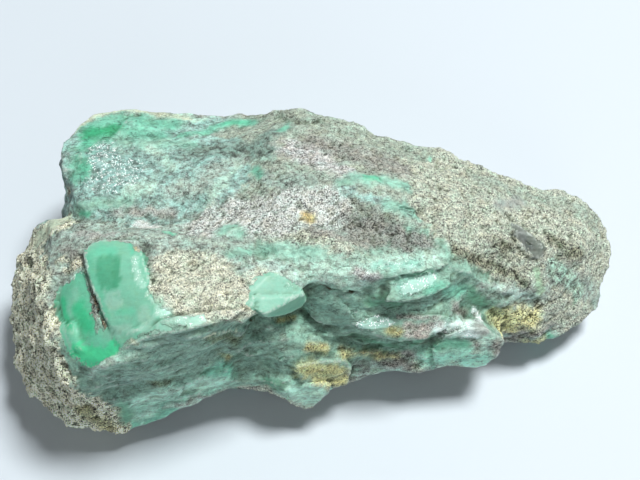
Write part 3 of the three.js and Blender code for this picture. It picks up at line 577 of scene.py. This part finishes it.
def nearest_on(path, where):
    """How far each place lies from a path, in millimetres, the point of the path that is nearest to it,
    and how far along the path that point is, from nought to one."""
    stops = [np.array(stop, float) for stop in path]
    nearest = np.repeat(stops[0][None], len(where), axis=0)
    distance = np.linalg.norm(where - nearest, axis=1)
    passed = np.zeros(len(where))
    for number, (start, end) in enumerate(zip(stops, stops[1:])):
        along = end - start
        share = np.clip((where - start) @ along / (along @ along), 0, 1)
        point = start + share[:, None] * along
        reach = np.linalg.norm(where - point, axis=1)
        closer = reach < distance
        distance = np.where(closer, reach, distance)
        nearest = np.where(closer[:, None], point, nearest)
        passed = np.where(closer, (number + share) / (len(stops) - 1), passed)
    return distance, nearest, passed


def within_reach(path, where, reach):
    """The numbers of the places that lie in the path's box, or no further outside it than the reach."""
    stops = np.array(path, float)
    above = where > stops.min(axis=0) - reach
    below = where < stops.max(axis=0) + reach
    return np.flatnonzero(np.all(above & below, axis=1))


GAMMA = 2.2


def linear(shown):
    """A tone as it looks on a screen, from 0 to 255, as an amount of light."""
    return (np.asarray(shown) / 255) ** GAMMA


def rock_of(kind):
    return np.concatenate([linear(KINDS[kind][:3]), KINDS[kind][3:]])


chance = np.random.default_rng(7)
# How far a mark's edge strays: in lumps, in small lumps, and from point to point.
WANDER = 1.4
TWITCH = 0.9
SCATTER = 0.25
# How soft a mark's edge is: a share of its half width, and the millimetres that it stays under.
CLOUDY_EDGE = (0.65, 1.5)
SHARP_EDGE = (0.4, 0.35)
# The clear kinds' tone is kept this far outside their edge, for the finish to draw a ragged edge with.
HALO = 1.0
# A place starts far outside every clear mark, and takes the first one's tone whole while it is still
# outside them.
FAR_OUTSIDE = -9.0
STILL_OUTSIDE = -0.3


def rock_at(where):
    """What the rock is made of at each place: its tone as light, how specked, blotched, glossy and so on,
    then the tone of the clean variscite on it, and how far inside that each place is."""
    stray = WANDER * sway(where, 3) + TWITCH * sway(where, 1.1, (2.0, 3.0, 4.0))
    stray = stray + SCATTER * chance.normal(0, 1, where.shape)
    beds = cloud(where * (0.2, 0.3, 1.0), 6, 3.7) + 0.35 * cloud(where, 3.1, 8.8)
    rock = np.repeat(rock_of("grey sand")[None], len(where), axis=0)
    for kind, low, high in BEDS:
        cover = ease(low, high, beds)
        rock += cover[:, None] * (rock_of(kind) - rock)
    clear = rock[:, :3].copy()
    inside = np.full(len(where), FAR_OUTSIDE)
    for kind, width, path in MARKS:
        share, widest = CLOUDY_EDGE if kind in CLOUDY else SHARP_EDGE
        soft = min(share, widest / width)
        strayed = where + min(1, 0.4 * width) * stray
        near = within_reach(path, strayed, width * (1 + soft) + HALO)
        deep = width - nearest_on(path, strayed[near])[0]
        cover = ease(-soft, soft, deep / width)
        rock[near, 3:] += cover[:, None] * (rock_of(kind)[3:] - rock[near, 3:])
        if kind in CLEAR:
            cover = np.where((inside[near] < STILL_OUTSIDE) & (deep > inside[near]), 1, cover)
            clear[near] += cover[:, None] * (rock_of(kind)[:3] - clear[near])
            inside[near] = np.maximum(inside[near], deep)
        else:
            rock[near, :3] += cover[:, None] * (rock_of(kind)[:3] - rock[near, :3])
            inside[near] = np.minimum(inside[near], -deep)
    return rock, clear, np.clip(0.5 + 0.5 * inside / HALO, 0, 1)


rock, _, _ = rock_at(place)
specked, _, gloss, _ = rock[:, 3:].T
grainy = np.clip(specked, 0, 1)

# ---- The skin's fine relief ----
# Clean variscite breaks in flat chips and shallow scoops. The matrix weathers to a grainy crust with
# clumps and pits, and on the sides the edges of the beds stand out as ledges.

NEAREST_SEEDS = 4


def scalloped(where, size, stretch, depth, tilt):
    """Shallow scoops about as wide as the given size, which meet in sharp edges. Gives each place's height
    in millimetres, and a random number from nought to one for the scoop that it lies in."""
    stretched = where * stretch
    area = len(where) * (SKIN_STEP / MM) ** 2
    seeds = chance.choice(len(where), int(area / size**2), replace=False)
    tree = kdtree.KDTree(len(seeds))
    for number, seed in enumerate(seeds):
        tree.insert(Vector(stretched[seed]), number)
    tree.balance()
    found = [[hit[1] for hit in tree.find_n(Vector(spot), NEAREST_SEEDS)] for spot in stretched]
    found = np.array(found)
    away = stretched[:, None, :] - stretched[seeds][found]
    lean = chance.normal(0, tilt, (len(seeds), 3))
    level = chance.normal(0, 0.4 * depth, len(seeds))
    bowl = depth * (away**2).sum(axis=2) / (0.5 * size) ** 2
    heights = level[found] + (away * lean[found]).sum(axis=2) + bowl
    lowest = heights.argmin(axis=1)
    rows = np.arange(len(where))
    return heights[rows, lowest] - depth, chance.random(len(seeds))[found[rows, lowest]]


def record(name, values):
    """Keeps a value for each point of the skin, for the finish to read."""
    layer = worn.attributes.get(name) or worn.attributes.new(name, "FLOAT", "POINT")
    layer.data.foreach_set("value", values)


def recorded(name):
    values = np.empty(len(worn.vertices))
    worn.attributes[name].data.foreach_get("value", values)
    return values


# Scoops are longest along the stone and shortest upwards.
LONGWAYS = np.array((0.55, 0.9, 1.3))
BED_THICKNESS = 3.1
BED_DIP = 0.06
side = 1 - ease(0.35, 0.75, facing[:, 2])
clean = 1 - grainy
calm = (1 - 0.85 * ease(0.35, 0.6, gloss)) * (1 - 0.75 * crisp)
bent = place + 0.6 * sway(place, 3)
scoops, facet = scalloped(bent, size=7, stretch=LONGWAYS, depth=0.4, tilt=0.09)
small_scoops, small_facet = scalloped(bent, size=2.6, stretch=LONGWAYS, depth=0.2, tilt=0.14)
# The beds swell and then undercut sharply, and dip a little along the stone.
rise = place[:, 2] + BED_DIP * place[:, 0] + 1.5 * cloud(place * (0.5, 0.6, 0.7), 13, 5.0)
bed = rise / BED_THICKNESS + 0.9 * cloud(place * (0.3, 0.5, 1), 8, 7.7)
bed = bed - np.floor(bed)
ledges = ease(0, 0.7, bed) - ease(0.8, 0.97, bed) - 0.5
ledges = ledges * ease(-0.25, 0.25, cloud(place * (0.5, 0.7, 1), 9, 61.0))
grit = 0.09 * chance.normal(0, 1, len(place))
grit = grit + 0.18 * cloud(place, 1.5, 5.5) + 0.32 * cloud(place, 3.4, 6.1)
crusty = ease(0.85, 1.25, specked)
clumps = 1 - 2 * np.abs(cloud(place, 2.2, 17.0)) - 0.6 * np.abs(cloud(place, 1.1, 19.0))
pits = ease(0.1, 0.3, cloud(place * (1, 1, 1.2), 2.4, 71.0))
relief = (
    0.5 * crusty * clumps
    - pits * (0.25 * grainy + 0.4 * ease(1.4, 1.7, specked))
    + scoops * calm * (0.4 + 0.5 * side)
    + small_scoops * calm * (0.45 + 0.3 * side) * (1 - 0.3 * grainy)
    + grit * (0.08 + 0.92 * grainy)
    + 0.25 * ledges * side * calm * (0.35 + 0.65 * clean)
)
# The face that the stone rests on stays flat: the relief fades in between these heights.
OFF_THE_TABLE = (0.2, 1.4)
firm = ease(*OFF_THE_TABLE, place[:, 2])
place = place + facing * (relief * firm)[:, None]
# How hollow each place is, against the skin for some way round it and close by.
WIDE_PASSES = 8
NARROW_PASSES = 2
wide = ((evened(place, links, WIDE_PASSES) - place) * facing).sum(axis=1)
narrow = ((evened(place, links, NARROW_PASSES) - place) * facing).sum(axis=1)
hollow = np.clip(0.5 + 0.7 * wide + 1.2 * narrow, 0, 1)
moved_to(worn, place * MM)
record("hollow", hollow)
record("facet", 0.5 + (0.5 * facet + 0.6 * small_facet - 0.55) * (0.45 + 0.55 * side))
record("corner", on_corner)

# ---- The cracks ----
# The beds part along thin cracks, mostly along the stone, and a deeper one splits the green face at the
# butt. Each gapes and closes along its way, and the rock beyond it has sunk a little.

# Each crack: its half width, its depth, how far the rock beyond it has sunk, which way that is, and
# the crack's path.
DOWN = (0, 0, -1)
LEFT = (-1, 0, 0)
CRACKS = [
    (0.25, 0.8, 0.2, LEFT, [(-44.6, -8.7, 35.2), (-44.3, -10.4, 34.6), (-43.6, -12.5, 34.2),
                            (-42.6, -15.8, 33.9), (-41.3, -18.7, 33.6)]),
    (0.15, 0.3, 0, LEFT, [(-41.3, -18.7, 33.6), (-40.4, -21.7, 33.3), (-39.3, -23.4, 33.1)]),
    (0.4, 0.7, 0.8, DOWN, [(-18.7, -24.4, 37.4), (-16.5, -24.5, 37.1), (-13.8, -23.6, 34.6),
                           (-11.7, -19, 26.9), (-8, -20.9, 31.9), (-4.9, -16, 25), (-2.2, -17.6, 29.7)]),
    (0.35, 0.6, 0.4, DOWN, [(15.1, -13.6, 32.6), (16.4, -12.9, 33.6), (18.8, -11.6, 32.7),
                            (21.4, -11.3, 32.8), (23.6, -10.5, 33.2), (25.5, -9.5, 31.8)]),
    (0.25, 0.5, 0.4, DOWN, [(9.7, -16, 27.2), (12.5, -16.6, 25.8), (15.1, -16.1, 27.4),
                            (16.9, -15.6, 26.4), (18.8, -15.6, 28), (23.7, -13.9, 26.1),
                            (26.3, -12.5, 25.7), (29.1, -11.3, 25.5)]),
    (0.25, 0.35, 0, DOWN, [(8.8, -18.1, 25.3), (10.1, -17.3, 25.7), (13.4, -17.2, 25.1),
                           (16.2, -17.1, 25.3)]),
    (0.35, 0.6, 0.8, DOWN, [(-0.6, -18.4, 22.9), (1.9, -18, 21.6), (2.6, -18.9, 21.4), (4.7, -19.2, 20.6),
                            (7.3, -18.7, 19.3), (10.1, -19.4, 18.5), (14.2, -19.1, 16.7),
                            (18, -19.1, 15.9), (21.7, -19.2, 17.6)]),
    (0.3, 0.5, 0.5, DOWN, [(21.7, -19.2, 17.6), (24.4, -17.9, 18.7), (26.3, -16.9, 20.4),
                           (28.3, -16.1, 21.4), (30.1, -14.1, 20)]),
    (0.25, 0.4, 0.3, DOWN, [(-38.1, -30.2, 24.9), (-36.7, -30.2, 25.6), (-34.4, -30, 26),
                            (-32.1, -30.4, 27.4), (-30.9, -29.9, 27.3), (-30.4, -29, 24)]),
    (0.25, 0.4, 0.3, DOWN, [(-37.8, -31, 21.8), (-35.4, -30.7, 22), (-33.5, -29.8, 22.5),
                            (-29.6, -28.9, 21.9), (-27.1, -28.5, 22.5), (-25.6, -27.4, 19.4)]),
    (0.4, 0.8, 0.4, DOWN, [(-0.5, -14.9, 32.5), (0.8, -14.5, 32.8), (2.8, -13.8, 30.8), (5.2, -14, 30.8),
                           (7.1, -14.1, 30.3), (8.7, -14.2, 29.8)]),
    (0.25, 0.4, 0.2, DOWN, [(-10, -23.1, 18.1), (-7.9, -23.8, 17.9), (-6.2, -23.3, 20.2)]),
    (0.3, 0.5, 0.2, DOWN, [(-5.3, -27.3, 14.2), (-5.5, -27.9, 12.2), (-5.6, -28.4, 9)]),
    (0.3, 0.4, 0.4, DOWN, [(25, -18.4, 18.8), (27.7, -18.8, 19.1), (30.6, -18.8, 19.2)]),
    (0.35, 0.6, 0.2, DOWN, [(-52, -8.9, 30.7), (-51.2, -11, 30.8), (-50, -12.7, 30.7)]),
    (0.3, 0.6, 0, DOWN, [(42.1, -0.8, 27.7), (42.7, -1.3, 27.4), (43.3, -1.8, 27.1)]),
    (0.3, 0.5, 0.2, DOWN, [(16.3, 2, 35.4), (18.6, 1.9, 34.9), (20.7, 1.6, 33.8)]),
    (0.25, 0.35, 0.1, DOWN, [(3.8, -12.9, 35.2), (5.4, -11.6, 35.3), (7.1, -11.5, 35.1),
                             (7.8, -12.2, 34.7)]),
    (0.3, 0.4, 0.1, DOWN, [(-40, 17.1, 31.5), (-38.9, 16.3, 32), (-37.2, 16, 32.1)]),
]
SUNK_REACH = 4.0
FINER_WITHIN = (0.6, 0.25)
NEAR_A_CRACK = 2

skin_tree = kdtree.KDTree(len(place))
for number, spot in enumerate(place):
    skin_tree.insert(Vector(spot), number)
skin_tree.balance()


def laid_on(path):
    """The path drawn on the skin, with a stop at every millimetre or so."""
    laid = []
    for start, end in zip(path, path[1:]):
        steps = max(1, round(math.dist(start, end)))
        for step in range(steps):
            laid.append(np.array(start) + (np.array(end) - start) * step / steps)
    laid.append(np.array(path[-1]))
    laid = np.array([skin_tree.find(Vector(spot))[0] for spot in laid])
    for _ in range(2):
        laid[1:-1] = 0.5 * laid[1:-1] + 0.25 * (laid[:-2] + laid[2:])
    return laid


cracks = [(width, deep, sunk, way, laid_on(path)) for width, deep, sunk, way, path in CRACKS]

# The skin is drawn finer along the cracks, twice, and then they are let into it.
shape = bmesh.new()
shape.from_mesh(worn)
for reach in FINER_WITHIN:
    middles = np.array([face.calc_center_median() for face in shape.faces]) / MM
    close = np.zeros(len(middles), dtype=bool)
    for width, _, _, _, path in cracks:
        near = within_reach(path, middles, NEAR_A_CRACK)
        close[near] |= nearest_on(path, middles[near])[0] < reach + width
    split = {edge for face, is_close in zip(shape.faces, close) if is_close for edge in face.edges}
    bmesh.ops.subdivide_edges(shape, edges=list(split), cuts=1, use_grid_fill=True)
shape.to_mesh(worn)
shape.free()
place = coordinates(worn) / MM
facing = evened(normals_of(worn), links_of(worn), 2)
facing = facing / np.linalg.norm(facing, axis=1)[:, None]

bent = place + 0.3 * sway(place, 1.5)
gape = 0.35 + 0.65 * ease(-0.35, 0.2, cloud(place, 2.4, 14.0))
drop = np.zeros(len(place))
dark = np.zeros(len(place))
for width, deep, sunk, way, path in cracks:
    near = within_reach(path, bent, SUNK_REACH)
    reach, nearest, passed = nearest_on(path, bent[near])
    open_by = ease(0, 0.2, passed) * ease(1, 0.8, passed) * gape[near]
    half = width * (0.4 + 0.6 * open_by)
    beyond = ease(0, 0.4, (bent[near] - nearest) @ np.array(way)) * ease(SUNK_REACH, 0.5, reach)
    line = ease(1, 0, reach / half) * (0.25 + 0.75 * open_by)
    drop[near] += deep * line + sunk * beyond
    # Each crack is darkened along its line, partly as dirt in it and partly as painted shade.
    dark[near] = np.maximum(dark[near], min(0.9, 0.35 + 0.6 * deep) * line)
place = place - facing * (drop * ease(*OFF_THE_TABLE, place[:, 2]))[:, None]
low, high = (np.array(corner) / MM for corner in cad_box)
place = np.clip(place, low, high)
moved_to(worn, place * MM)
# The cracks' dirt and painted shade join the hollows' painted shade.
record("hollow", np.maximum(recorded("hollow"), dark))

# The rock is laid down again on the finer skin. The clean corner is one tone on its top and a darker one
# on its sides, right up to its edges: the darker sides are painted shade.
CORNER_TOP_FACING = np.array((0.33, -0.29, 0.9))
rock, clear, inside = rock_at(place)
specked, blotched, gloss, glint = rock[:, 3:].T
top = ease(0.88, 0.93, facing @ CORNER_TOP_FACING)[:, None]
corner_tone = top * rock_of("clear mint")[:3] + (1 - top) * rock_of("corner shaded side")[:3]
on_corner = ease(0.3, 0.7, recorded("corner"))
clear += on_corner[:, None] * (corner_tone - clear)
inside = np.maximum(inside, on_corner)
specked = (1 - on_corner) * specked
blotched = (1 - 0.8 * on_corner) * blotched

for name, values in {"tone": rock[:, :3], "clear_tone": clear}.items():
    tones = np.concatenate([values, np.ones((len(place), 1))], axis=1)
    worn.attributes.new(name, "FLOAT_COLOR", "POINT").data.foreach_set("color", tones.ravel())
record("inside", inside)
record("specked", specked)
record("blotched", blotched)
record("gloss", gloss)
record("glint", glint)
for polygon in worn.polygons:
    polygon.use_smooth = True

# ---- The finish ----
# Clean variscite has a waxy gloss and a quiet, streaky green. The matrix is sand, pale grains with dark
# ones and gaps among them, and where the two are mixed the green is mottled, and flaked along the beds.


class Wire:
    """A shader socket that can be added, subtracted, multiplied, divided and compared in plain Python."""

    def __init__(self, tree, socket):
        self.tree = tree
        self.socket = socket

    def result_of(self, operation, first, second):
        return self.tree.add("ShaderNodeMath", {"operation": operation}, {0: first, 1: second})

    def __add__(self, other):
        return self.result_of("ADD", self, other)

    def __radd__(self, other):
        return self.result_of("ADD", other, self)

    def __sub__(self, other):
        return self.result_of("SUBTRACT", self, other)

    def __rsub__(self, other):
        return self.result_of("SUBTRACT", other, self)

    def __mul__(self, other):
        return self.result_of("MULTIPLY", self, other)

    def __rmul__(self, other):
        return self.result_of("MULTIPLY", other, self)

    def __truediv__(self, other):
        return self.result_of("DIVIDE", self, other)

    def __gt__(self, other):
        return self.result_of("GREATER_THAN", self, other)

    def __lt__(self, other):
        return self.result_of("LESS_THAN", self, other)

    def __abs__(self):
        return self.tree.add("ShaderNodeMath", {"operation": "ABSOLUTE"}, {0: self})

    def clamped(self):
        return self.tree.add("ShaderNodeClamp", {}, {0: self})


class Finish:
    """The node tree of one material."""

    def __init__(self, name):
        self.material = bpy.data.materials.new(name)
        self.material.use_nodes = True
        self.nodes = self.material.node_tree.nodes
        self.links = self.material.node_tree.links
        self.nodes.clear()

    def add(self, kind, settings, values, output=0):
        node = self.nodes.new(kind)
        for name, value in settings.items():
            if name == "stops":
                ramp = node.color_ramp
                while len(ramp.elements) < len(value):
                    ramp.elements.new(0.5)
                for element, (position, colour) in zip(ramp.elements, value):
                    element.position = position
                    element.color = colour
            else:
                setattr(node, name, value)
        for name, value in values.items():
            if isinstance(value, Wire):
                self.links.new(value.socket, node.inputs[name])
            else:
                node.inputs[name].default_value = value
        return Wire(self, node.outputs[output]) if node.outputs else None

    def attribute(self, name, output="Fac"):
        return self.add("ShaderNodeAttribute", {"attribute_name": name}, {}, output)

    def times(self, vector, by):
        return self.add("ShaderNodeVectorMath", {"operation": "MULTIPLY"}, {0: vector, 1: by})

    def part(self, colour, name):
        return self.add("ShaderNodeSeparateColor", {}, {"Color": colour}, name)

    def ramp(self, value, stops):
        return self.add("ShaderNodeValToRGB", {"stops": stops}, {"Fac": value})

    def between(self, low, high, value):
        ranges = {"Value": value, "From Min": low, "From Max": high}
        return self.add("ShaderNodeMapRange", {"interpolation_type": "SMOOTHSTEP"}, ranges)

    def scaled(self, colour, amount):
        return self.add("ShaderNodeVectorMath", {"operation": "SCALE"}, {"Vector": colour, "Scale": amount})

    def mixed(self, share, first, second, way="MIX"):
        settings = {"data_type": "RGBA", "blend_type": way}
        return self.add("ShaderNodeMix", settings, {0: share, 6: first, 7: second}, 2)


def tone(red, green, blue):
    """A colour given as it looks on a screen, from 0 to 255."""
    return (*linear((red, green, blue)), 1)


def grey(value):
    return (value, value, value, 1)


EVENLY = (1, 1, 1)
ALONG_BEDS = (0.7, 0.9, 1.2)
finish = Finish("variscite_in_matrix")
spot = finish.times(finish.add("ShaderNodeTexCoord", {}, {}, "Object"), (1 / MM, 1 / MM, 1 / MM))


def speckle(scale, detail=3.0, roughness=0.6, stretch=EVENLY):
    """Noise from nought to one with so many lumps to a millimetre."""
    at = finish.times(spot, stretch)
    values = {"Vector": at, "Scale": scale, "Detail": detail, "Roughness": roughness}
    return finish.add("ShaderNodeTexNoise", {}, values)


def grains(scale, output):
    """Sand grains, so many to a millimetre: a random colour for each, or the distance to its middle."""
    return finish.add("ShaderNodeTexVoronoi", {}, {"Vector": spot, "Scale": scale}, output)


def wobbled(stretch, lumps, amount):
    """The spot's place, moved about by a wobble with so many lumps to a millimetre."""
    wobble = finish.add("ShaderNodeTexNoise", {}, {"Vector": spot, "Scale": lumps, "Detail": 3.0}, "Color")
    moved = {0: wobble, 1: (amount, amount, amount), 2: spot}
    moved = finish.add("ShaderNodeVectorMath", {"operation": "MULTIPLY_ADD"}, moved)
    return finish.times(moved, stretch)


def plates(scale, amount):
    """Flat flakes that lie along the beds: a random value from nought to one for each."""
    at = {"Vector": wobbled((0.35, 0.8, 1.5), 0.9, amount), "Scale": scale}
    return finish.part(finish.add("ShaderNodeTexVoronoi", {}, at, "Color"), "Red")


def hair_lines(lumps, fine, faded):
    """Thin lines where a noise passes its middle value, whole up to one distance and gone by another."""
    return 1 - finish.between(fine, faded, abs(lumps - 0.5))


def off_grains(part):
    """One on clean rock, and less by the given part where the rock is all grains."""
    return (1 - part * specked_at).clamped()


def off_clear(part):
    """One off the clean variscite, and less by the given part on it."""
    return 1 - part * clear_share


tone_at = finish.attribute("tone", "Color")
specked_at = finish.attribute("specked")
blotched_at = finish.attribute("blotched")
gloss_at = finish.attribute("gloss")
glint_at = finish.attribute("glint")
hollow_at = finish.attribute("hollow")
facet_at = finish.attribute("facet")
inside_at = finish.attribute("inside")
clear_tone_at = finish.attribute("clear_tone", "Color")
# The clean variscite's edge is ragged; inside it there are no grains and little mottling.
ragged = speckle(1.7, 4, 0.65)
clear_share = finish.between(0.42, 0.58, inside_at + 0.5 * (ragged - 0.5))
tone_at = finish.mixed(clear_share, tone_at, clear_tone_at)
specked_at = specked_at * off_clear(1)
blotched_at = blotched_at * off_clear(0.7)

# About a quarter of the grains are dark, and they lie in clusters.
GRAINS_PER_MM = 4.8
GRAIN_TONES = [(0.0, grey(0.05)), (0.22, grey(0.15)), (0.3, grey(0.9)), (0.7, grey(1.05)), (1.0, grey(1.75))]
grain_value = finish.part(grains(GRAINS_PER_MM, "Color"), "Red")
grain_tone = finish.ramp(grain_value + 0.9 * (speckle(1.1, 3, 0.65) - 0.5), GRAIN_TONES)
worms = finish.between(0.40, 0.58, speckle(3.8, 1.5, 0.7))
grain = 0.85 * finish.part(grain_tone, "Red") + 0.5 * worms

# Mottling, streaks, flakes and hair lines follow the beds, over a fine unevenness that doesn't.
blotch = finish.between(0.40, 0.58, speckle(0.95, 4, 0.7, ALONG_BEDS))
haze = speckle(0.28, 4, 0.62, ALONG_BEDS)
fine = speckle(1.6, 4, 0.7)
streak = speckle(1, 2.5, 0.55, (0.2, 0.35, 1.1))
vein = hair_lines(speckle(1, 3, 0.6, (0.16, 0.3, 0.7)), 0.004, 0.016)
vein = vein * finish.between(0.46, 0.58, speckle(0.35, 2, 0.5))
thread = hair_lines(speckle(1, 4, 0.65, (0.35, 0.6, 1.5)), 0.003, 0.014)
thread = thread * finish.between(0.5, 0.62, speckle(0.6, 2, 0.5))
lines = (vein + thread).clamped() * off_grains(0.7) * (1 - 0.6 * gloss_at) * off_clear(1)
plate = plates(0.8, 1.8)
chip = plates(2.1, 0.9)
fleck = finish.between(0.57, 0.66, speckle(2.4, 3, 0.7, ALONG_BEDS)) * off_clear(1)
inner_streak = speckle(1.3, 4, 0.65, (0.6, 1.6, 0.8))
brightness = (
    1
    + (0.24 * (plate - 0.5) + 0.2 * (chip - 0.5)) * off_grains(0.8) * off_clear(0.85)
    + specked_at * (grain - 0.97)
    + blotched_at * 0.7 * (blotch - 0.55)
    + (0.3 * (haze - 0.5) + 0.3 * (fine - 0.5) + 0.35 * (streak - 0.5)) * off_clear(0.6)
    - 0.3 * fleck * off_grains(0.7)
    + 0.3 * clear_share * (inner_streak - 0.5)
    + 0.4 * (facet_at - 0.5) * off_grains(0.6) * off_clear(0.5)
    - 0.6 * lines
)

# The mottling goes from grey to mint, and the whole stone drifts a little between warm and cool.
WARM_TO_COOL = [(0.35, (1.04, 0.99, 0.94, 1)), (0.5, grey(1)), (0.65, (0.92, 1.02, 1.0, 1))]
GREY_MOTTLE = (1.07, 0.98, 0.97, 1)
MINT_MOTTLE = (0.92, 1.02, 1.02, 1)
tint = finish.ramp(speckle(0.55, 4, 0.7, ALONG_BEDS), WARM_TO_COOL)
mint_share = (blotched_at * 0.55 * (blotch - 0.5) + 0.5).clamped()
tint_of_mottle = finish.mixed(mint_share, GREY_MOTTLE, MINT_MOTTLE)
coloured = finish.mixed(1.0, finish.mixed(1.0, tone_at, tint, "MULTIPLY"), tint_of_mottle, "MULTIPLY")
colour = finish.scaled(coloured, brightness)

# Small crystals glint in clusters. Hollows get painted shade, and cracks dirt and painted shade.
# Edges that stick out are painted pale, partly as bruising and partly as a painted highlight.
SPARKS_PER_MM = 4.6
SPARK = tone(246, 252, 250)
SPARK_GLOW = (0.5, 0.52, 0.52, 1)
BRUISE_AND_HIGHLIGHT = tone(222, 232, 224)
HOLLOW_SHADE_AND_DIRT_TONES = [
    (0.0, tone(255, 255, 255)),
    (0.5, tone(250, 250, 250)),
    (0.72, tone(196, 199, 192)),
    (1.0, tone(84, 88, 78)),
]
spark = finish.part(grains(SPARKS_PER_MM, "Color"), "Green") > 0.62
spark = spark * (grains(SPARKS_PER_MM, "Distance") < 0.5)
spark = spark * finish.between(0.44, 0.6, speckle(0.9, 3, 0.6)) * glint_at
colour = finish.mixed(spark.clamped(), colour, SPARK)
# Painted shade in the hollows, and dirt with painted shade in the cracks.
colour = finish.mixed(1.0, colour, finish.ramp(hollow_at, HOLLOW_SHADE_AND_DIRT_TONES), "MULTIPLY")
# Jutting edges are painted pale: partly bruising, partly a painted highlight.
bruised_and_highlit = off_grains(0.75) * (1 - finish.between(0.2, 0.44, hollow_at))
bruised_and_highlit = bruised_and_highlit * finish.between(0.35, 0.6, speckle(1.4, 3, 0.6))
colour = finish.mixed(0.55 * bruised_and_highlit, colour, BRUISE_AND_HIGHLIGHT)

pebble = 1 - grains(GRAINS_PER_MM, "Distance")
height = (0.6 * pebble + 0.6 * worms) * specked_at + 0.12 * fine + 0.2 * blotch * blotched_at - 0.4 * lines
height = height + (0.5 * plate + 0.3 * chip) * off_clear(0.85)
bump = finish.add("ShaderNodeBump", {}, {"Height": height, "Strength": 0.9, "Distance": 0.25 * MM})
surface = finish.add(
    "ShaderNodeBsdfPrincipled",
    {},
    {
        "Base Color": colour,
        "Roughness": 0.8 - 0.36 * gloss_at - 0.3 * spark + 0.2 * (fine - 0.5),
        "Coat Weight": 0.35 * gloss_at,
        "Coat Roughness": 0.28,
        "Emission Color": finish.mixed(spark.clamped(), grey(0), SPARK_GLOW),
        "Emission Strength": 1.0,
        "Normal": bump,
    },
)
finish.add("ShaderNodeOutputMaterial", {}, {"Surface": surface})
worn.materials.clear()
worn.materials.append(finish.material)

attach(stone, "root")
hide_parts("variscite_stone")

# ---- The table, the light and the view ----
# A pale matt table, a soft lamp high behind the stone's right shoulder, a faint one in front, and a dim
# pale room. The stone is looked down on steeply, from a quarter of a metre away, with a long lens.

TABLE_REACH = 1.5
TABLE_TONE = tone(213, 221, 230)
floor_mesh = bpy.data.meshes.new("table")
shape = bmesh.new()
bmesh.ops.create_grid(shape, x_segments=1, y_segments=1, size=TABLE_REACH)
shape.to_mesh(floor_mesh)
shape.free()
floor = bpy.data.objects.new("table", floor_mesh)
bpy.context.scene.collection.objects.link(floor)
paint = Finish("table_paint")
matt = paint.add("ShaderNodeBsdfPrincipled", {}, {"Base Color": TABLE_TONE, "Roughness": 0.6})
paint.add("ShaderNodeOutputMaterial", {}, {"Surface": matt})
floor_mesh.materials.append(paint.material)


def soft_lamp(name, width, power, colour, location):
    """A round lamp that is turned to the stone."""
    lamp = bpy.data.objects.new(name, bpy.data.lights.new(name, "AREA"))
    lamp.data.shape = "DISK"
    lamp.data.size = width
    lamp.data.energy = power
    lamp.data.color = colour
    lamp.location = location
    lamp.rotation_euler = (-lamp.location).to_track_quat("-Z", "Y").to_euler()
    bpy.context.scene.collection.objects.link(lamp)


soft_lamp("lamp", width=0.4, power=21, colour=(0.97, 1, 0.985), location=(0.43, 0.29, 1.27))
soft_lamp("fill", width=0.6, power=1.4, colour=(0.95, 1, 1), location=(0.1, -1.0, 0.45))

world = bpy.data.worlds.new("room")
world.use_nodes = True
room = world.node_tree.nodes["Background"].inputs
room["Color"].default_value = (0.97, 0.99, 1, 1)
room["Strength"].default_value = 0.14
bpy.context.scene.world = world
bpy.context.scene.view_settings.view_transform = "Standard"

VIEW_TILT = math.radians(58)
VIEW_DISTANCE = 250 * MM
VIEW_TARGET = Vector((1, 5, 18)) * MM
SENSOR = 36
LENS = 67.2

camera = bpy.data.objects.new("camera", bpy.data.cameras.new("camera"))
camera.data.sensor_width = SENSOR
camera.data.lens = LENS
camera.data.clip_start = 0.01
camera.location = VIEW_TARGET + VIEW_DISTANCE * Vector((0, -math.cos(VIEW_TILT), math.sin(VIEW_TILT)))
camera.rotation_euler = (math.pi / 2 - VIEW_TILT, 0, 0)
bpy.context.scene.collection.objects.link(camera)
bpy.context.scene.camera = camera
